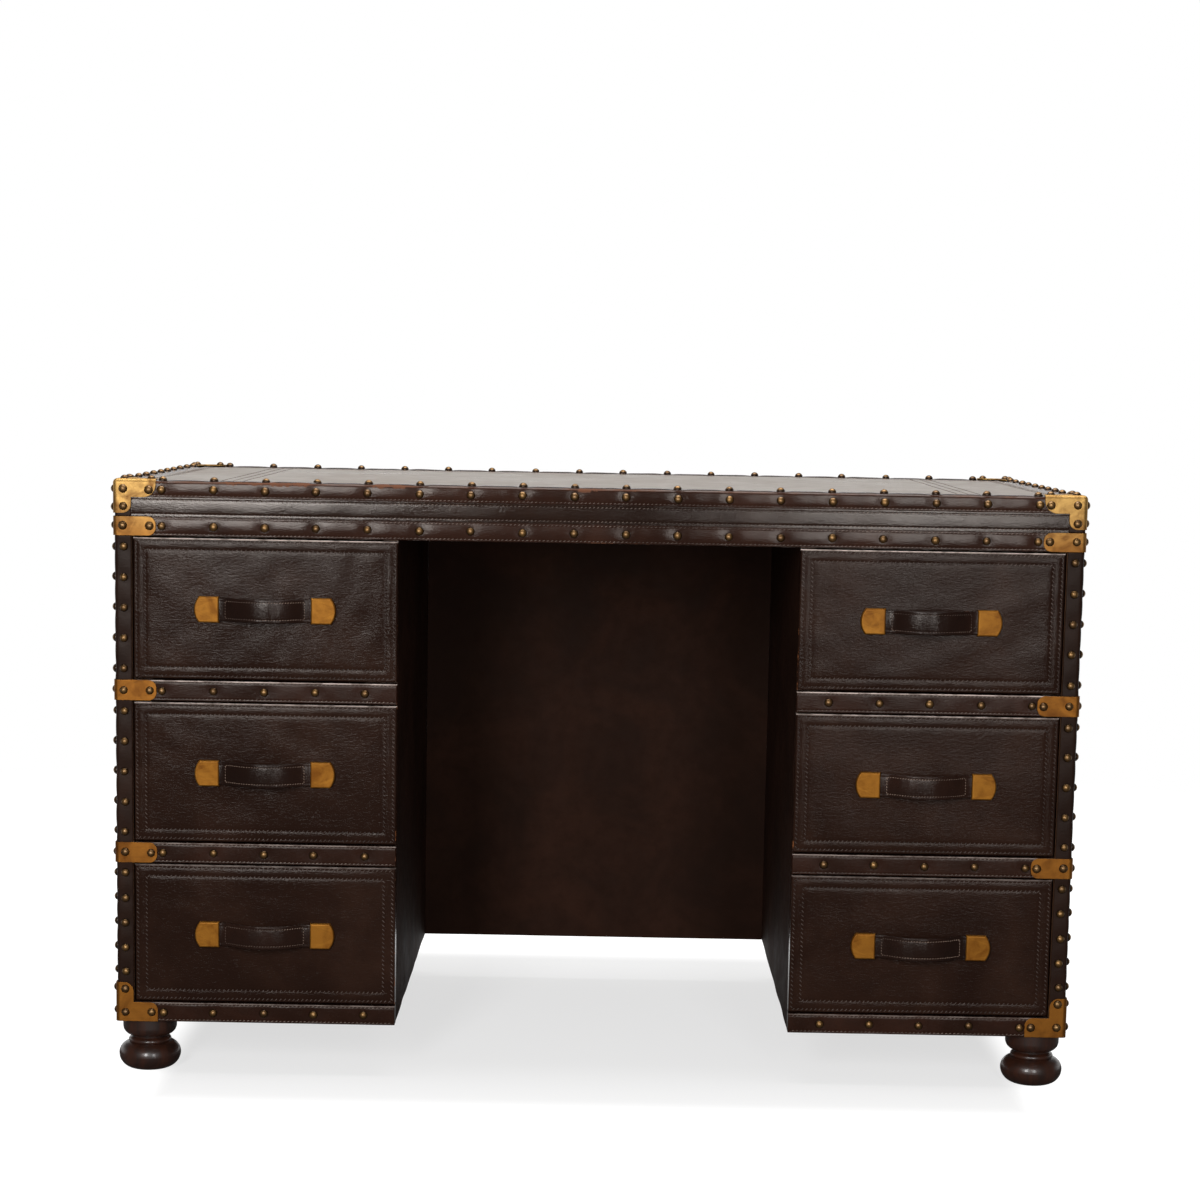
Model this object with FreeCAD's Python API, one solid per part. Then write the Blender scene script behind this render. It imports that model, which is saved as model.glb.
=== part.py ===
import FreeCAD, Part
import math
import os

from FreeCAD import Vector

# A campaign desk: a shallow box top on two pedestals of three drawers, all covered in leather,
# bound with nailed leather strips and brass corners, and standing on four turned feet.
# Millimetres. +X runs right along the front, the front faces -Y, +Z is up, and the origin is on
# the floor under the middle of the desk with its pulls and nails counted in.

# Overall sizes
WIDTH = 1220.0
DEPTH = 610.0
HEIGHT = 762.0
FOOT_HEIGHT = 68.0
TOP_BOX = 70.0
KNEEHOLE = 506.0
DRAWERS = 3

# Leather and brass: a thin sheet over the boards, thicker strips over the sheet, brass over the strips
SKIN = 1.4
BAND = 2.2
DRAWER_SKIN = 1.6
BRASS = 1.2
TOP_BAND = 22.0
TOP_BORDER = 24.0
TOP_TURN = 8.0
FIELD_RISE = 0.8
LOWER_BAND = 24.0
STILE = 22.0

# Boards
WOOD_EDGE = 1.0
TOP_BOARD = 20.0
FRIEZE_RAIL = 20.0
FRIEZE_FLOOR = 10.0
INNER_PANEL = 18.0
BACK_BOARD = 12.0
BOTTOM_BOARD = 18.0
MODESTY_BOARD = 18.0
MODESTY_SETBACK = 24.0

# Rails between the drawers, and the runners behind them
RAIL = 26.0
BOTTOM_RAIL = 25.0
RAIL_ROUND = 1.5
RUNNER_WIDTH = 22.0
RUNNER_HEIGHT = 16.0

# Drawers
DRAWER_FRONT = 20.0
DRAWER_GAP = 2.2
DRAWER_ROUND = 3.0
CLOSE_GAP = 0.6
BOX_SIDE = 12.0
BOX_DEPTH = 530.0
BOX_HEIGHT = 130.0
BOX_LIFT = 12.0
BOX_FLOOR = 6.0
BOX_FLOOR_RISE = 6.0
SIDE_CLEAR = 3.0
RUN_CLEAR = 0.3

# Strap pulls: a bowed leather strap held at each end by a brass cap with a screw from inside
PULL_LENGTH = 178.0
PULL_REACH = 24.0
STRAP = 4.0
STRAP_WIDTH = 30.0
STRAP_TUCK = 24.0
HEEL_SHARE = 0.3
CAP_LENGTH = 31.0
CAP_HEIGHT = 33.0
CAP_THICK = 7.0
CAP_BULGE = 6.0
CAP_ROUND = 2.0
CLEAR = 0.2
SCREW_R = 2.0
SCREW_HEAD_R = 4.5
SCREW_HEAD = 2.4
SCREW_BITE = 1.8
SCREW_INSET = 17.0

# Brass corners and straps
BRASS_LEG = 53.0
TOP_CAP_DROP = 42.0
TOP_LEG_ROUND = 16.0
TOP_DROP_ROUND = 11.0
BOTTOM_CAP_RISE = 51.0
BOTTOM_LEG_ROUND = 10.0
BOTTOM_RISE_ROUND = 12.0
STRAP_ROUND = 10.0
WALL_SHARE = 0.9

# Dome nails
NAIL_R = 5.5
NAIL_DOME = 4.2
SHANK_R = 1.2
SHANK = 9.0
NAIL_INSET = 12.0
LEG_NAIL = 8.0
BAND_NAIL_GAP = 7.0
NAIL_PITCH = 64.5
SIDE_NAIL_PITCH = 54.5
STILE_NAILS = 5
STILE_NAIL_MARGIN = 14.0
KNEEHOLE_NAIL_INSET = 40.0

# Turned feet
FOOT_INSET = 36.5
SPIGOT_R = 10.0
SPIGOT = 14.0
FLANGE_R = 34.5
FLANGE_SIDE = 12.5
OVOLO = 12.0
NECK_R = 22.8
NECK = 4.0
COLLAR_R = 26.0
COLLAR = 5.5
COLLAR_BULGE = 1.4
BUN_R = 39.6
BUN_WAIST = 19.0
SOLE_R = 21.0

# How far a cutting tool runs past the piece that it cuts
OVERRUN = 5.0

# Planes and places that follow from the sizes above
UNDER_LEATHER = BAND + SKIN
FOLD = WOOD_EDGE + UNDER_LEATHER + BRASS
RAIL_DEPTH = DRAWER_FRONT + CLOSE_GAP
SIDE = WIDTH / 2
KNEE = KNEEHOLE / 2
FRONT = (PULL_REACH - DEPTH - BRASS - NAIL_DOME) / 2
BACK = FRONT + DEPTH
MIDDLE = FRONT + DEPTH / 2
BASE = FOOT_HEIGHT
DECK = HEIGHT - TOP_BOX
SLOT = (DECK - BASE - BOTTOM_RAIL - (DRAWERS - 1) * RAIL) / DRAWERS
PANEL_FACE = SIDE - STILE
INNER_FACE = KNEE + SKIN + INNER_PANEL
CARCASE_FRONT = FRONT + RAIL_DEPTH
CARCASE_BACK = BACK - UNDER_LEATHER
UNDER_TOP = HEIGHT - UNDER_LEATHER - TOP_BOARD
PULL_HALF = PULL_LENGTH / 2 - CAP_LENGTH
SCREW_X = PULL_LENGTH / 2 - SCREW_INSET
PEDESTAL = (BASE, DECK)
WHOLE_WIDTH = (-SIDE - OVERRUN, SIDE + OVERRUN)
WHOLE_DEPTH = (FRONT - OVERRUN, BACK + OVERRUN)
LEFT_STILE = (-SIDE - OVERRUN, -PANEL_FACE)


def block(xs, ys, zs):
    """A box between the low and high ends given along each axis."""
    sizes = [high - low for low, high in (xs, ys, zs)]
    return Part.makeBox(*sizes, Vector(xs[0], ys[0], zs[0]))


def across(shape):
    """The same piece on the other side of the desk."""
    return shape.mirror(Vector(), Vector(1, 0, 0))


def behind(shape):
    """The same piece at the back of the desk."""
    return shape.mirror(Vector(0, MIDDLE, 0), Vector(0, 1, 0))


def pair(*shapes):
    """Left-hand pieces followed by their right-hand twins."""
    return list(shapes) + [across(shape) for shape in shapes]


def four_corners(shape):
    """A front left piece and its twins at the other three corners."""
    return pair(shape, behind(shape))


def limited(radius, wall):
    """A corner radius that leaves some of its wall straight."""
    return min(radius, WALL_SHARE * wall)


def body_form(inset):
    """The desk's outer block taken in at its sides and top, its upright and top edges rounded."""
    form = block((inset - SIDE, SIDE - inset), (FRONT + inset, BACK - inset), (BASE, HEIGHT - inset))
    rounded = [edge for edge in form.Edges if edge.BoundBox.ZMax > (BASE + HEIGHT) / 2]
    return form.makeFillet(WOOD_EDGE + UNDER_LEATHER - inset, rounded)


def layer(outer_inset, inner_inset):
    """One covering of the body: what lies between two insets."""
    return body_form(outer_inset).cut(body_form(inner_inset))


def plan_wedges():
    """Front, back, left and right quarters of the plan, parted along the mitre lines."""
    left_end = Vector(DEPTH / 2 - SIDE, MIDDLE, 0)
    right_end = Vector(SIDE - DEPTH / 2, MIDDLE, 0)
    corners = [Vector(x, y, 0) for y in WHOLE_DEPTH for x in WHOLE_WIDTH]
    front_left, front_right, back_left, back_right = corners
    outlines = [
        (front_left, front_right, right_end, left_end),
        (back_left, back_right, right_end, left_end),
        (front_left, left_end, back_left),
        (front_right, right_end, back_right),
    ]
    wedges = []
    for outline in outlines:
        face = Part.Face(Part.makePolygon(list(outline) + [outline[0]]))
        wedges.append(face.extrude(Vector(0, 0, HEIGHT + OVERRUN)))
    return wedges


def mitred(ring):
    """A ring round the desk cut into its four mitred lengths."""
    return [ring.common(wedge) for wedge in plan_wedges()]


def slot_span(row):
    """Bottom and top of a drawer's opening, counted down from the top row."""
    top = DECK - row * (SLOT + RAIL)
    return (top - SLOT, top)


def rail_spans():
    """Bottom and top of each rail of a pedestal, the bottom rail last."""
    between = [slot_span(row)[0] for row in range(DRAWERS - 1)]
    return [(high - RAIL, high) for high in between] + [(BASE, BASE + BOTTOM_RAIL)]


def rounded_face(corners, place):
    """A flat face through (u, v, radius) corners; place turns u and v into a point in space."""
    points = [Vector(u, v, 0) for u, v, radius in corners]
    arcs = []
    for index, (u, v, radius) in enumerate(corners):
        here = points[index]
        back = (points[index - 1] - here).normalize()
        on = (points[(index + 1) % len(points)] - here).normalize()
        half = back.getAngle(on) / 2
        reach = radius / math.tan(half)
        inward = (back + on).normalize()
        crest = here + inward * (radius / math.sin(half) - radius)
        arcs.append([place(p.x, p.y) for p in (here + back * reach, crest, here + on * reach)])
    edges = []
    for index, (start, crest, end) in enumerate(arcs):
        if corners[index][2] > 0:
            edges.append(Part.Arc(start, crest, end).toShape())
        edges.append(Part.makeLine(end, arcs[(index + 1) % len(arcs)][0]))
    return Part.Face(Part.Wire(edges))


def angle_outline(band, drop, stile, leg_round, drop_round):
    """An L of brass: a leg along a band and a drop along a stile, their free ends rounded."""
    return [
        (-OVERRUN, -OVERRUN, 0),
        (BRASS_LEG, -OVERRUN, 0),
        (BRASS_LEG, band, limited(leg_round, band)),
        (stile, band, 0),
        (stile, drop, limited(drop_round, stile)),
        (-OVERRUN, drop, 0),
    ]


def strap_outline(height):
    """A brass strap's leg, both corners of its free end rounded."""
    radius = limited(STRAP_ROUND, height / 2)
    return [
        (-OVERRUN, 0, 0),
        (BRASS_LEG, 0, radius),
        (BRASS_LEG, height, radius),
        (-OVERRUN, height, 0),
    ]


def corner_plates(outline, height_of):
    """Prisms that stamp an outline on the front and the left side; height_of gives z from v."""
    front = rounded_face(outline, lambda u, v: Vector(u - SIDE, FRONT - OVERRUN, height_of(v)))
    side = rounded_face(outline, lambda u, v: Vector(-SIDE - OVERRUN, FRONT + u, height_of(v)))
    depth = OVERRUN + FOLD
    return front.extrude(Vector(0, depth, 0)).fuse(side.extrude(Vector(depth, 0, 0)))


def top_corner_cap(brass):
    """The brass cap of the front left top corner, over the front, the side and the top."""
    outline = angle_outline(TOP_BAND, TOP_CAP_DROP, STILE, TOP_LEG_ROUND, TOP_DROP_ROUND)
    sides = corner_plates(outline, lambda v: HEIGHT - v)
    outline = angle_outline(TOP_BORDER, BRASS_LEG, TOP_BORDER, TOP_DROP_ROUND, TOP_DROP_ROUND)
    lid = rounded_face(outline, lambda u, v: Vector(u - SIDE, FRONT + v, HEIGHT + OVERRUN))
    return brass.common(sides.fuse(lid.extrude(Vector(0, 0, -OVERRUN - FOLD))))


def bottom_corner_cap(brass):
    """The brass cap of the front left bottom corner, over the front and the side."""
    outline = angle_outline(BOTTOM_RAIL, BOTTOM_CAP_RISE, STILE, BOTTOM_LEG_ROUND, BOTTOM_RISE_ROUND)
    return brass.common(corner_plates(outline, lambda v: BASE + v))


def strap_levels():
    """Bottom and top of each brass strap: the lower band and the rails above the bottom one."""
    return [(DECK, DECK + LOWER_BAND)] + rail_spans()[:-1]


def corner_straps(brass):
    """The front left corner's brass straps."""
    return [
        brass.common(corner_plates(strap_outline(high - low), lambda v, low=low: low + v))
        for low, high in strap_levels()
    ]


def top_nodes():
    """The box top: boards, the leather over them and the nailed strips round its edges."""
    wood = body_form(UNDER_LEATHER)
    skin = layer(BAND, UNDER_LEATHER)
    band = layer(0, BAND)
    side = SIDE - UNDER_LEATHER
    inner_side = side - FRIEZE_RAIL
    front_ys = (FRONT + UNDER_LEATHER, FRONT + UNDER_LEATHER + FRIEZE_RAIL)
    inner_ys = (front_ys[1], CARCASE_BACK - FRIEZE_RAIL)
    frieze_zs = (DECK, UNDER_TOP)
    front_rail = wood.common(block((-side, side), front_ys, frieze_zs))
    left_rail = wood.common(block((-side, -inner_side), inner_ys, frieze_zs))
    rim = block(WHOLE_WIDTH, WHOLE_DEPTH, (HEIGHT - TOP_BAND, HEIGHT + OVERRUN))
    field_xs = (TOP_BORDER - SIDE, SIDE - TOP_BORDER)
    field_ys = (FRONT + TOP_BORDER, BACK - TOP_BORDER)
    field = block(field_xs, field_ys, (DECK, HEIGHT + OVERRUN))
    pad_xs = (field_xs[0] + CLEAR, field_xs[1] - CLEAR)
    pad_ys = (field_ys[0] + CLEAR, field_ys[1] - CLEAR)
    pad = block(pad_xs, pad_ys, (HEIGHT - UNDER_LEATHER, HEIGHT - BAND + FIELD_RISE))
    frieze = block(WHOLE_WIDTH, WHOLE_DEPTH, (DECK, HEIGHT - TOP_TURN))
    lower = block(WHOLE_WIDTH, WHOLE_DEPTH, (DECK, DECK + LOWER_BAND))
    lid = block(WHOLE_WIDTH, WHOLE_DEPTH, (HEIGHT - TOP_TURN, HEIGHT + OVERRUN))
    return {
        "top_board": [wood.common(block(WHOLE_WIDTH, WHOLE_DEPTH, (UNDER_TOP, HEIGHT)))],
        "top_leather": [skin.common(lid).fuse(pad)],
        "top_edge_binding": mitred(band.common(rim).cut(field)),
        "frieze_frame": [front_rail, behind(front_rail)] + pair(left_rail),
        "frieze_leather": mitred(skin.common(frieze)),
        "frieze_lower_band": mitred(band.common(lower)),
        "frieze_bottom_board": [block((-inner_side, inner_side), inner_ys, (DECK, DECK + FRIEZE_FLOOR))],
    }


def panel_nodes():
    """The pedestals' upright panels, their bottoms and backs, and the panel across the kneehole."""
    wood = body_form(UNDER_LEATHER)
    outer = wood.common(block(LEFT_STILE, WHOLE_DEPTH, PEDESTAL))
    inner = block((-INNER_FACE, -KNEE - SKIN), (CARCASE_FRONT, CARCASE_BACK), PEDESTAL)
    bay = (-PANEL_FACE, -INNER_FACE)
    back_ys = (CARCASE_BACK - BACK_BOARD, CARCASE_BACK)
    bottom = block(bay, (CARCASE_FRONT, back_ys[0]), (BASE, BASE + BOTTOM_BOARD))
    socket = Part.makeCylinder(SPIGOT_R + CLEAR, SPIGOT + CLEAR, foot_place(FRONT + FOOT_INSET))
    rear_socket = Part.makeCylinder(SPIGOT_R + CLEAR, SPIGOT + CLEAR, foot_place(BACK - FOOT_INSET))
    modesty_back = BACK - MODESTY_SETBACK - SKIN
    modesty_ys = (modesty_back - MODESTY_BOARD, modesty_back)
    return {
        "left_outer_panel": [outer],
        "right_outer_panel": [across(outer)],
        "left_inner_panel": [inner],
        "right_inner_panel": [across(inner)],
        "pedestal_bottom_boards": pair(bottom.cut(socket).cut(rear_socket)),
        "pedestal_back_boards": pair(block(bay, back_ys, PEDESTAL)),
        "modesty_panel": [block((-KNEE, KNEE), modesty_ys, PEDESTAL)],
    }


def foot_place(y):
    """The point on a left foot's axis at the underside of the body."""
    return Vector(FOOT_INSET - SIDE, y, BASE)


def rail_nodes():
    """The rails between the drawers with their leather, and the runners that carry the drawers."""
    rails = []
    sleeves = []
    for low, high in rail_spans():
        xs = (-PANEL_FACE, -KNEE)
        sleeve = block(xs, (FRONT, CARCASE_FRONT), (low, high))
        soft = [
            edge for edge in sleeve.Edges
            if edge.BoundBox.YMax < CARCASE_FRONT - DRAWER_FRONT / 2 and edge.BoundBox.XMax > sum(xs) / 2
        ]
        rail = block((-PANEL_FACE, -KNEE - SKIN), (FRONT + BAND, CARCASE_FRONT), (low + SKIN, high - SKIN))
        rails.append(rail)
        sleeves.append(sleeve.makeFillet(limited(RAIL_ROUND, BAND), soft).cut(rail))
    runners = []
    ys = (CARCASE_FRONT, CARCASE_BACK - BACK_BOARD)
    for row in range(DRAWERS):
        top = slot_span(row)[0] + BOX_LIFT - RUN_CLEAR
        zs = (top - RUNNER_HEIGHT, top)
        runners.append(block((-PANEL_FACE, RUNNER_WIDTH - PANEL_FACE), ys, zs))
        runners.append(block((-INNER_FACE - RUNNER_WIDTH, -INNER_FACE), ys, zs))
    return {
        "drawer_rails": pair(*rails),
        "drawer_rail_leather": pair(*sleeves),
        "drawer_runners": pair(*runners),
    }


def covering_nodes():
    """The leather over the pedestals and the nailed strips along their corners and rails."""
    skin = layer(BAND, UNDER_LEATHER)
    band = layer(0, BAND)
    side = skin.common(block(LEFT_STILE, WHOLE_DEPTH, PEDESTAL))
    back = block((-PANEL_FACE, -KNEE), (CARCASE_BACK, BACK - BAND), PEDESTAL)
    knee = block((-KNEE - SKIN, -KNEE), (CARCASE_FRONT, CARCASE_BACK), PEDESTAL)
    modesty_back = BACK - MODESTY_SETBACK
    modesty_front = modesty_back - SKIN - MODESTY_BOARD
    modesty_skins = [
        block((-KNEE, KNEE), (face - SKIN, face), PEDESTAL) for face in (modesty_back, modesty_front)
    ]
    corner = (FRONT - OVERRUN, FRONT + STILE)
    bindings = []
    for zs in (PEDESTAL, (DECK + LOWER_BAND, HEIGHT - TOP_BAND)):
        bindings.extend(four_corners(band.common(block(LEFT_STILE, corner, zs))))
    strips = []
    for zs in rail_spans():
        strips.append(block((-SIDE, BAND - SIDE), (FRONT + STILE, BACK - STILE), zs))
        strips.append(block((-PANEL_FACE, -KNEE), (BACK - BAND, BACK), zs))
    return {
        "side_leather": pair(side),
        "back_leather": pair(back),
        "kneehole_leather": pair(knee) + modesty_skins,
        "corner_bindings": bindings,
        "carcase_bands": pair(*strips),
    }


def brass_nodes():
    """The brass caps and straps round the four upright corners."""
    brass = layer(-BRASS, 0)
    straps = []
    for strap in corner_straps(brass):
        straps.extend(four_corners(strap))
    return {
        "top_corner_caps": four_corners(top_corner_cap(brass)),
        "bottom_corner_caps": four_corners(bottom_corner_cap(brass)),
        "corner_straps": straps,
    }


def dome_nail():
    """A dome-headed nail standing on z = 0, its shank below."""
    sphere = (NAIL_R ** 2 + NAIL_DOME ** 2) / (2 * NAIL_DOME)
    lean = math.asin(NAIL_R / sphere) / 2
    crest = Vector(sphere * math.sin(lean), 0, NAIL_DOME - sphere * (1 - math.cos(lean)))
    rim = Vector(NAIL_R, 0, 0)
    tip = Vector(0, 0, NAIL_DOME)
    outline = [Vector(0, 0, -SHANK), Vector(SHANK_R, 0, -SHANK), Vector(SHANK_R, 0, 0), rim]
    edges = [Part.makeLine(start, end) for start, end in zip(outline, outline[1:])]
    edges.append(Part.Arc(rim, crest, tip).toShape())
    edges.append(Part.makeLine(tip, outline[0]))
    return Part.Face(Part.Wire(edges)).revolve(Vector(), Vector(0, 0, 1))


def nailed(points, outward):
    """Nails with their heads seated at the points, pointing outward."""
    nail = dome_nail()
    turn = FreeCAD.Rotation(Vector(0, 0, 1), outward)
    return [nail.transformed(FreeCAD.Placement(point, turn).Matrix, True) for point in points]


def spread(first, last, pitch):
    """Even places from first to last, as near the pitch as a whole number of steps allows."""
    steps = max(1, round((last - first) / pitch))
    return [first + (last - first) * step / steps for step in range(steps + 1)]


def stile_heights():
    """Heights of the nails down a corner strip, between the brass pieces."""
    tops = [low for low, high in strap_levels()]
    bottoms = [high for low, high in strap_levels()[1:]] + [BASE + BOTTOM_CAP_RISE]
    heights = []
    for low, high in zip(bottoms, tops):
        first = low + STILE_NAIL_MARGIN
        step = (high - STILE_NAIL_MARGIN - first) / (STILE_NAILS - 1)
        heights.extend(first + step * index for index in range(STILE_NAILS))
    return heights


def upright_face_nails(length, pitch, rail_ends):
    """Nails of an upright face as (place along it, height, level), rails running in from each end."""
    leg = BRASS_LEG - LEG_NAIL
    first = BRASS_LEG + BAND_NAIL_GAP
    top_row = HEIGHT - NAIL_INSET
    low_row = DECK + LOWER_BAND / 2
    places = [(along, z, 0) for along in spread(first, length - first, pitch) for z in (top_row, low_row)]
    ends = [(NAIL_INSET, z, 0) for z in stile_heights()]
    brass_points = [(NAIL_INSET, top_row), (leg, top_row), (NAIL_INSET, HEIGHT - TOP_CAP_DROP + LEG_NAIL)]
    brass_points += [(NAIL_INSET, BASE + BOTTOM_CAP_RISE - LEG_NAIL)]
    levels = [(low + high) / 2 for low, high in strap_levels() + [rail_spans()[-1]]]
    brass_points += [(along, z) for z in levels for along in (NAIL_INSET, leg)]
    ends += [(along, z, BRASS) for along, z in brass_points]
    rail_places = spread(first, rail_ends, pitch)
    rails = [(along, (low + high) / 2, 0) for low, high in rail_spans() for along in rail_places]
    if rail_ends < length / 2:
        ends += rails
    else:
        places += rails
    return places + ends + [(length - along, z, level) for along, z, level in ends]


def nail_nodes():
    """Every dome nail, in one group for each face of the desk."""
    rail_last = SIDE - KNEE - KNEEHOLE_NAIL_INSET
    wide = upright_face_nails(WIDTH, NAIL_PITCH, rail_last)
    deep = upright_face_nails(DEPTH, SIDE_NAIL_PITCH, DEPTH - BRASS_LEG - BAND_NAIL_GAP)
    front = [Vector(along - SIDE, FRONT - level, z) for along, z, level in wide]
    back = [Vector(along - SIDE, BACK + level, z) for along, z, level in wide]
    left = [Vector(-SIDE - level, FRONT + along, z) for along, z, level in deep]
    right = [Vector(SIDE + level, FRONT + along, z) for along, z, level in deep]
    first = BRASS_LEG + BAND_NAIL_GAP
    row = FRONT + NAIL_INSET
    leg = BRASS_LEG - LEG_NAIL
    quarter = [Vector(NAIL_INSET - SIDE, row, HEIGHT + BRASS), Vector(leg - SIDE, row, HEIGHT + BRASS)]
    quarter.append(Vector(NAIL_INSET - SIDE, FRONT + leg, HEIGHT + BRASS))
    top = [Vector(x, y, p.z) for p in quarter for x in (p.x, -p.x) for y in (p.y, 2 * MIDDLE - p.y)]
    for x in spread(first - SIDE, SIDE - first, NAIL_PITCH):
        top.extend(Vector(x, y, HEIGHT) for y in (row, BACK - NAIL_INSET))
    for y in spread(FRONT + first, BACK - first, SIDE_NAIL_PITCH):
        top.extend(Vector(x, y, HEIGHT) for x in (NAIL_INSET - SIDE, SIDE - NAIL_INSET))
    return {
        "front_nails": nailed(front, Vector(0, -1, 0)),
        "back_nails": nailed(back, Vector(0, 1, 0)),
        "side_nails": nailed(left, Vector(-1, 0, 0)) + nailed(right, Vector(1, 0, 0)),
        "top_nails": nailed(top, Vector(0, 0, 1)),
    }


def swell(tip_r, tip_z, end_r, end_z):
    """An arc in the plane of a turned profile, upright at its tip and ending at the end point."""
    fall = tip_r - end_r
    radius = (fall ** 2 + (end_z - tip_z) ** 2) / (2 * fall)
    half = math.atan2(end_z - tip_z, radius - fall) / 2
    crest = Vector(tip_r - radius + radius * math.cos(half), 0, tip_z + radius * math.sin(half))
    return Part.Arc(Vector(tip_r, 0, tip_z), crest, Vector(end_r, 0, end_z)).toShape()


def turned_foot():
    """A bun foot: spigot, flange, ovolo, neck, collar and bun, turned about a left foot's axis."""
    flange_low = BASE - FLANGE_SIDE
    neck_high = flange_low - OVOLO
    collar_high = neck_high - NECK
    bun_high = collar_high - COLLAR
    neck_crest = Vector(NECK_R, 0, (neck_high + collar_high) / 2)
    collar_crest = Vector(COLLAR_R + COLLAR_BULGE, 0, (collar_high + bun_high) / 2)
    neck_top = Vector(NECK_R, 0, neck_high)
    collar_top = Vector(COLLAR_R, 0, collar_high)
    bun_top = Vector(COLLAR_R, 0, bun_high)
    spigot = [Vector(0, 0, BASE + SPIGOT), Vector(SPIGOT_R, 0, BASE + SPIGOT), Vector(SPIGOT_R, 0, BASE)]
    points = spigot + [Vector(FLANGE_R, 0, BASE), Vector(FLANGE_R, 0, flange_low)]
    edges = [Part.makeLine(start, end) for start, end in zip(points, points[1:])]
    edges.append(swell(FLANGE_R, flange_low, NECK_R, neck_high))
    edges.append(Part.makeLine(neck_top, neck_crest))
    edges.append(Part.makeLine(neck_crest, collar_top))
    edges.append(Part.Arc(collar_top, collar_crest, bun_top).toShape())
    edges.append(swell(BUN_R, BUN_WAIST, COLLAR_R, bun_high))
    edges.append(swell(BUN_R, BUN_WAIST, SOLE_R, 0))
    edges.append(Part.makeLine(Vector(SOLE_R, 0, 0), Vector()))
    edges.append(Part.makeLine(Vector(), points[0]))
    foot = Part.Face(Part.Wire(Part.__sortEdges__(edges))).revolve(Vector(), Vector(0, 0, 1))
    place = foot_place(FRONT + FOOT_INSET)
    return foot.translated(Vector(place.x, place.y, 0))


def strap_line(outward):
    """A pull strap's face line at one offset from its middle, from the left tail to the right."""
    rise = PULL_REACH - STRAP
    turn = 2 * math.atan(rise / PULL_HALF)
    reach = PULL_HALF / math.sin(turn)
    heel = HEEL_SHARE * reach
    bow = reach - heel
    tail = PULL_HALF + STRAP_TUCK
    level = STRAP / 2 + outward

    def heel_point(side, angle):
        out = STRAP / 2 + heel - (heel - outward) * math.cos(angle)
        return Vector(side * (PULL_HALF - (heel - outward) * math.sin(angle)), FRONT - out, 0)

    crown = Vector(0, FRONT - PULL_REACH + STRAP / 2 - outward, 0)
    points = [Vector(-tail, FRONT - level, 0), heel_point(-1, 0), heel_point(-1, turn)]
    points += [heel_point(1, turn), heel_point(1, 0), Vector(tail, FRONT - level, 0)]
    edges = [Part.makeLine(points[0], points[1])]
    edges.append(Part.Arc(points[1], heel_point(-1, turn / 2), points[2]).toShape())
    edges.append(Part.Arc(points[2], crown, points[3]).toShape())
    edges.append(Part.Arc(points[3], heel_point(1, turn / 2), points[4]).toShape())
    edges.append(Part.makeLine(points[4], points[5]))
    return edges, points[0], points[-1]


def screw_hole(x, z, radius):
    """A tool along a pull screw's axis, from behind the drawer's front board out to its tip."""
    length = OVERRUN + DRAWER_FRONT + STRAP + SCREW_BITE
    return Part.makeCylinder(radius, length, Vector(x, FRONT + DRAWER_FRONT + OVERRUN, z), Vector(0, -1, 0))


def drilled(shape, centre, z):
    """A piece with the clearance holes of both pull screws."""
    for x in (centre - SCREW_X, centre + SCREW_X):
        shape = shape.cut(screw_hole(x, z, SCREW_R + CLEAR))
    return shape


def pull_strap(centre, z):
    """The bowed leather strap of a pull."""
    outer, outer_left, outer_right = strap_line(STRAP / 2)
    inner, inner_left, inner_right = strap_line(-STRAP / 2)
    ends = [Part.makeLine(outer_left, inner_left), Part.makeLine(outer_right, inner_right)]
    face = Part.Face(Part.Wire(Part.__sortEdges__(outer + inner + ends)))
    strap = face.extrude(Vector(0, 0, STRAP_WIDTH))
    return drilled(strap.translated(Vector(centre, 0, z - STRAP_WIDTH / 2)), centre, z)


def left_pull_cap():
    """The brass cap at the left end of a pull centred on x = 0 and z = 0, hollow for the strap."""
    half = CAP_HEIGHT / 2
    shoulder = CAP_BULGE - PULL_LENGTH / 2
    corners = [Vector(shoulder, FRONT, half), Vector(-PULL_HALF, FRONT, half)]
    corners += [Vector(-PULL_HALF, FRONT, -half), Vector(shoulder, FRONT, -half)]
    edges = [Part.makeLine(start, end) for start, end in zip(corners, corners[1:])]
    edges.append(Part.Arc(corners[-1], Vector(-PULL_LENGTH / 2, FRONT, 0), corners[0]).toShape())
    cap = Part.Face(Part.Wire(edges)).extrude(Vector(0, -CAP_THICK, 0))
    soft = [edge for edge in cap.Edges if edge.BoundBox.YMax < FRONT - CAP_THICK / 2]
    cap = cap.makeFillet(limited(CAP_ROUND, CAP_THICK - STRAP - CLEAR), soft)
    grip = STRAP_WIDTH / 2 + CLEAR
    pocket_xs = (-PULL_HALF - STRAP_TUCK - CLEAR, OVERRUN - PULL_HALF)
    pocket = block(pocket_xs, (FRONT - STRAP - CLEAR, FRONT + OVERRUN), (-grip, grip))
    return cap.cut(pocket).cut(screw_hole(-SCREW_X, 0, SCREW_R))


def left_pull_screw():
    """The screw of a left pull cap, its head inside the drawer."""
    seat = Vector(-SCREW_X, FRONT + DRAWER_FRONT, 0)
    shank = Part.makeCylinder(SCREW_R, DRAWER_FRONT + STRAP + SCREW_BITE, seat, Vector(0, -1, 0))
    head = Part.makeCylinder(SCREW_HEAD_R, SCREW_HEAD, seat, Vector(0, 1, 0))
    return shank.fuse(head).removeSplitter()


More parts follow.
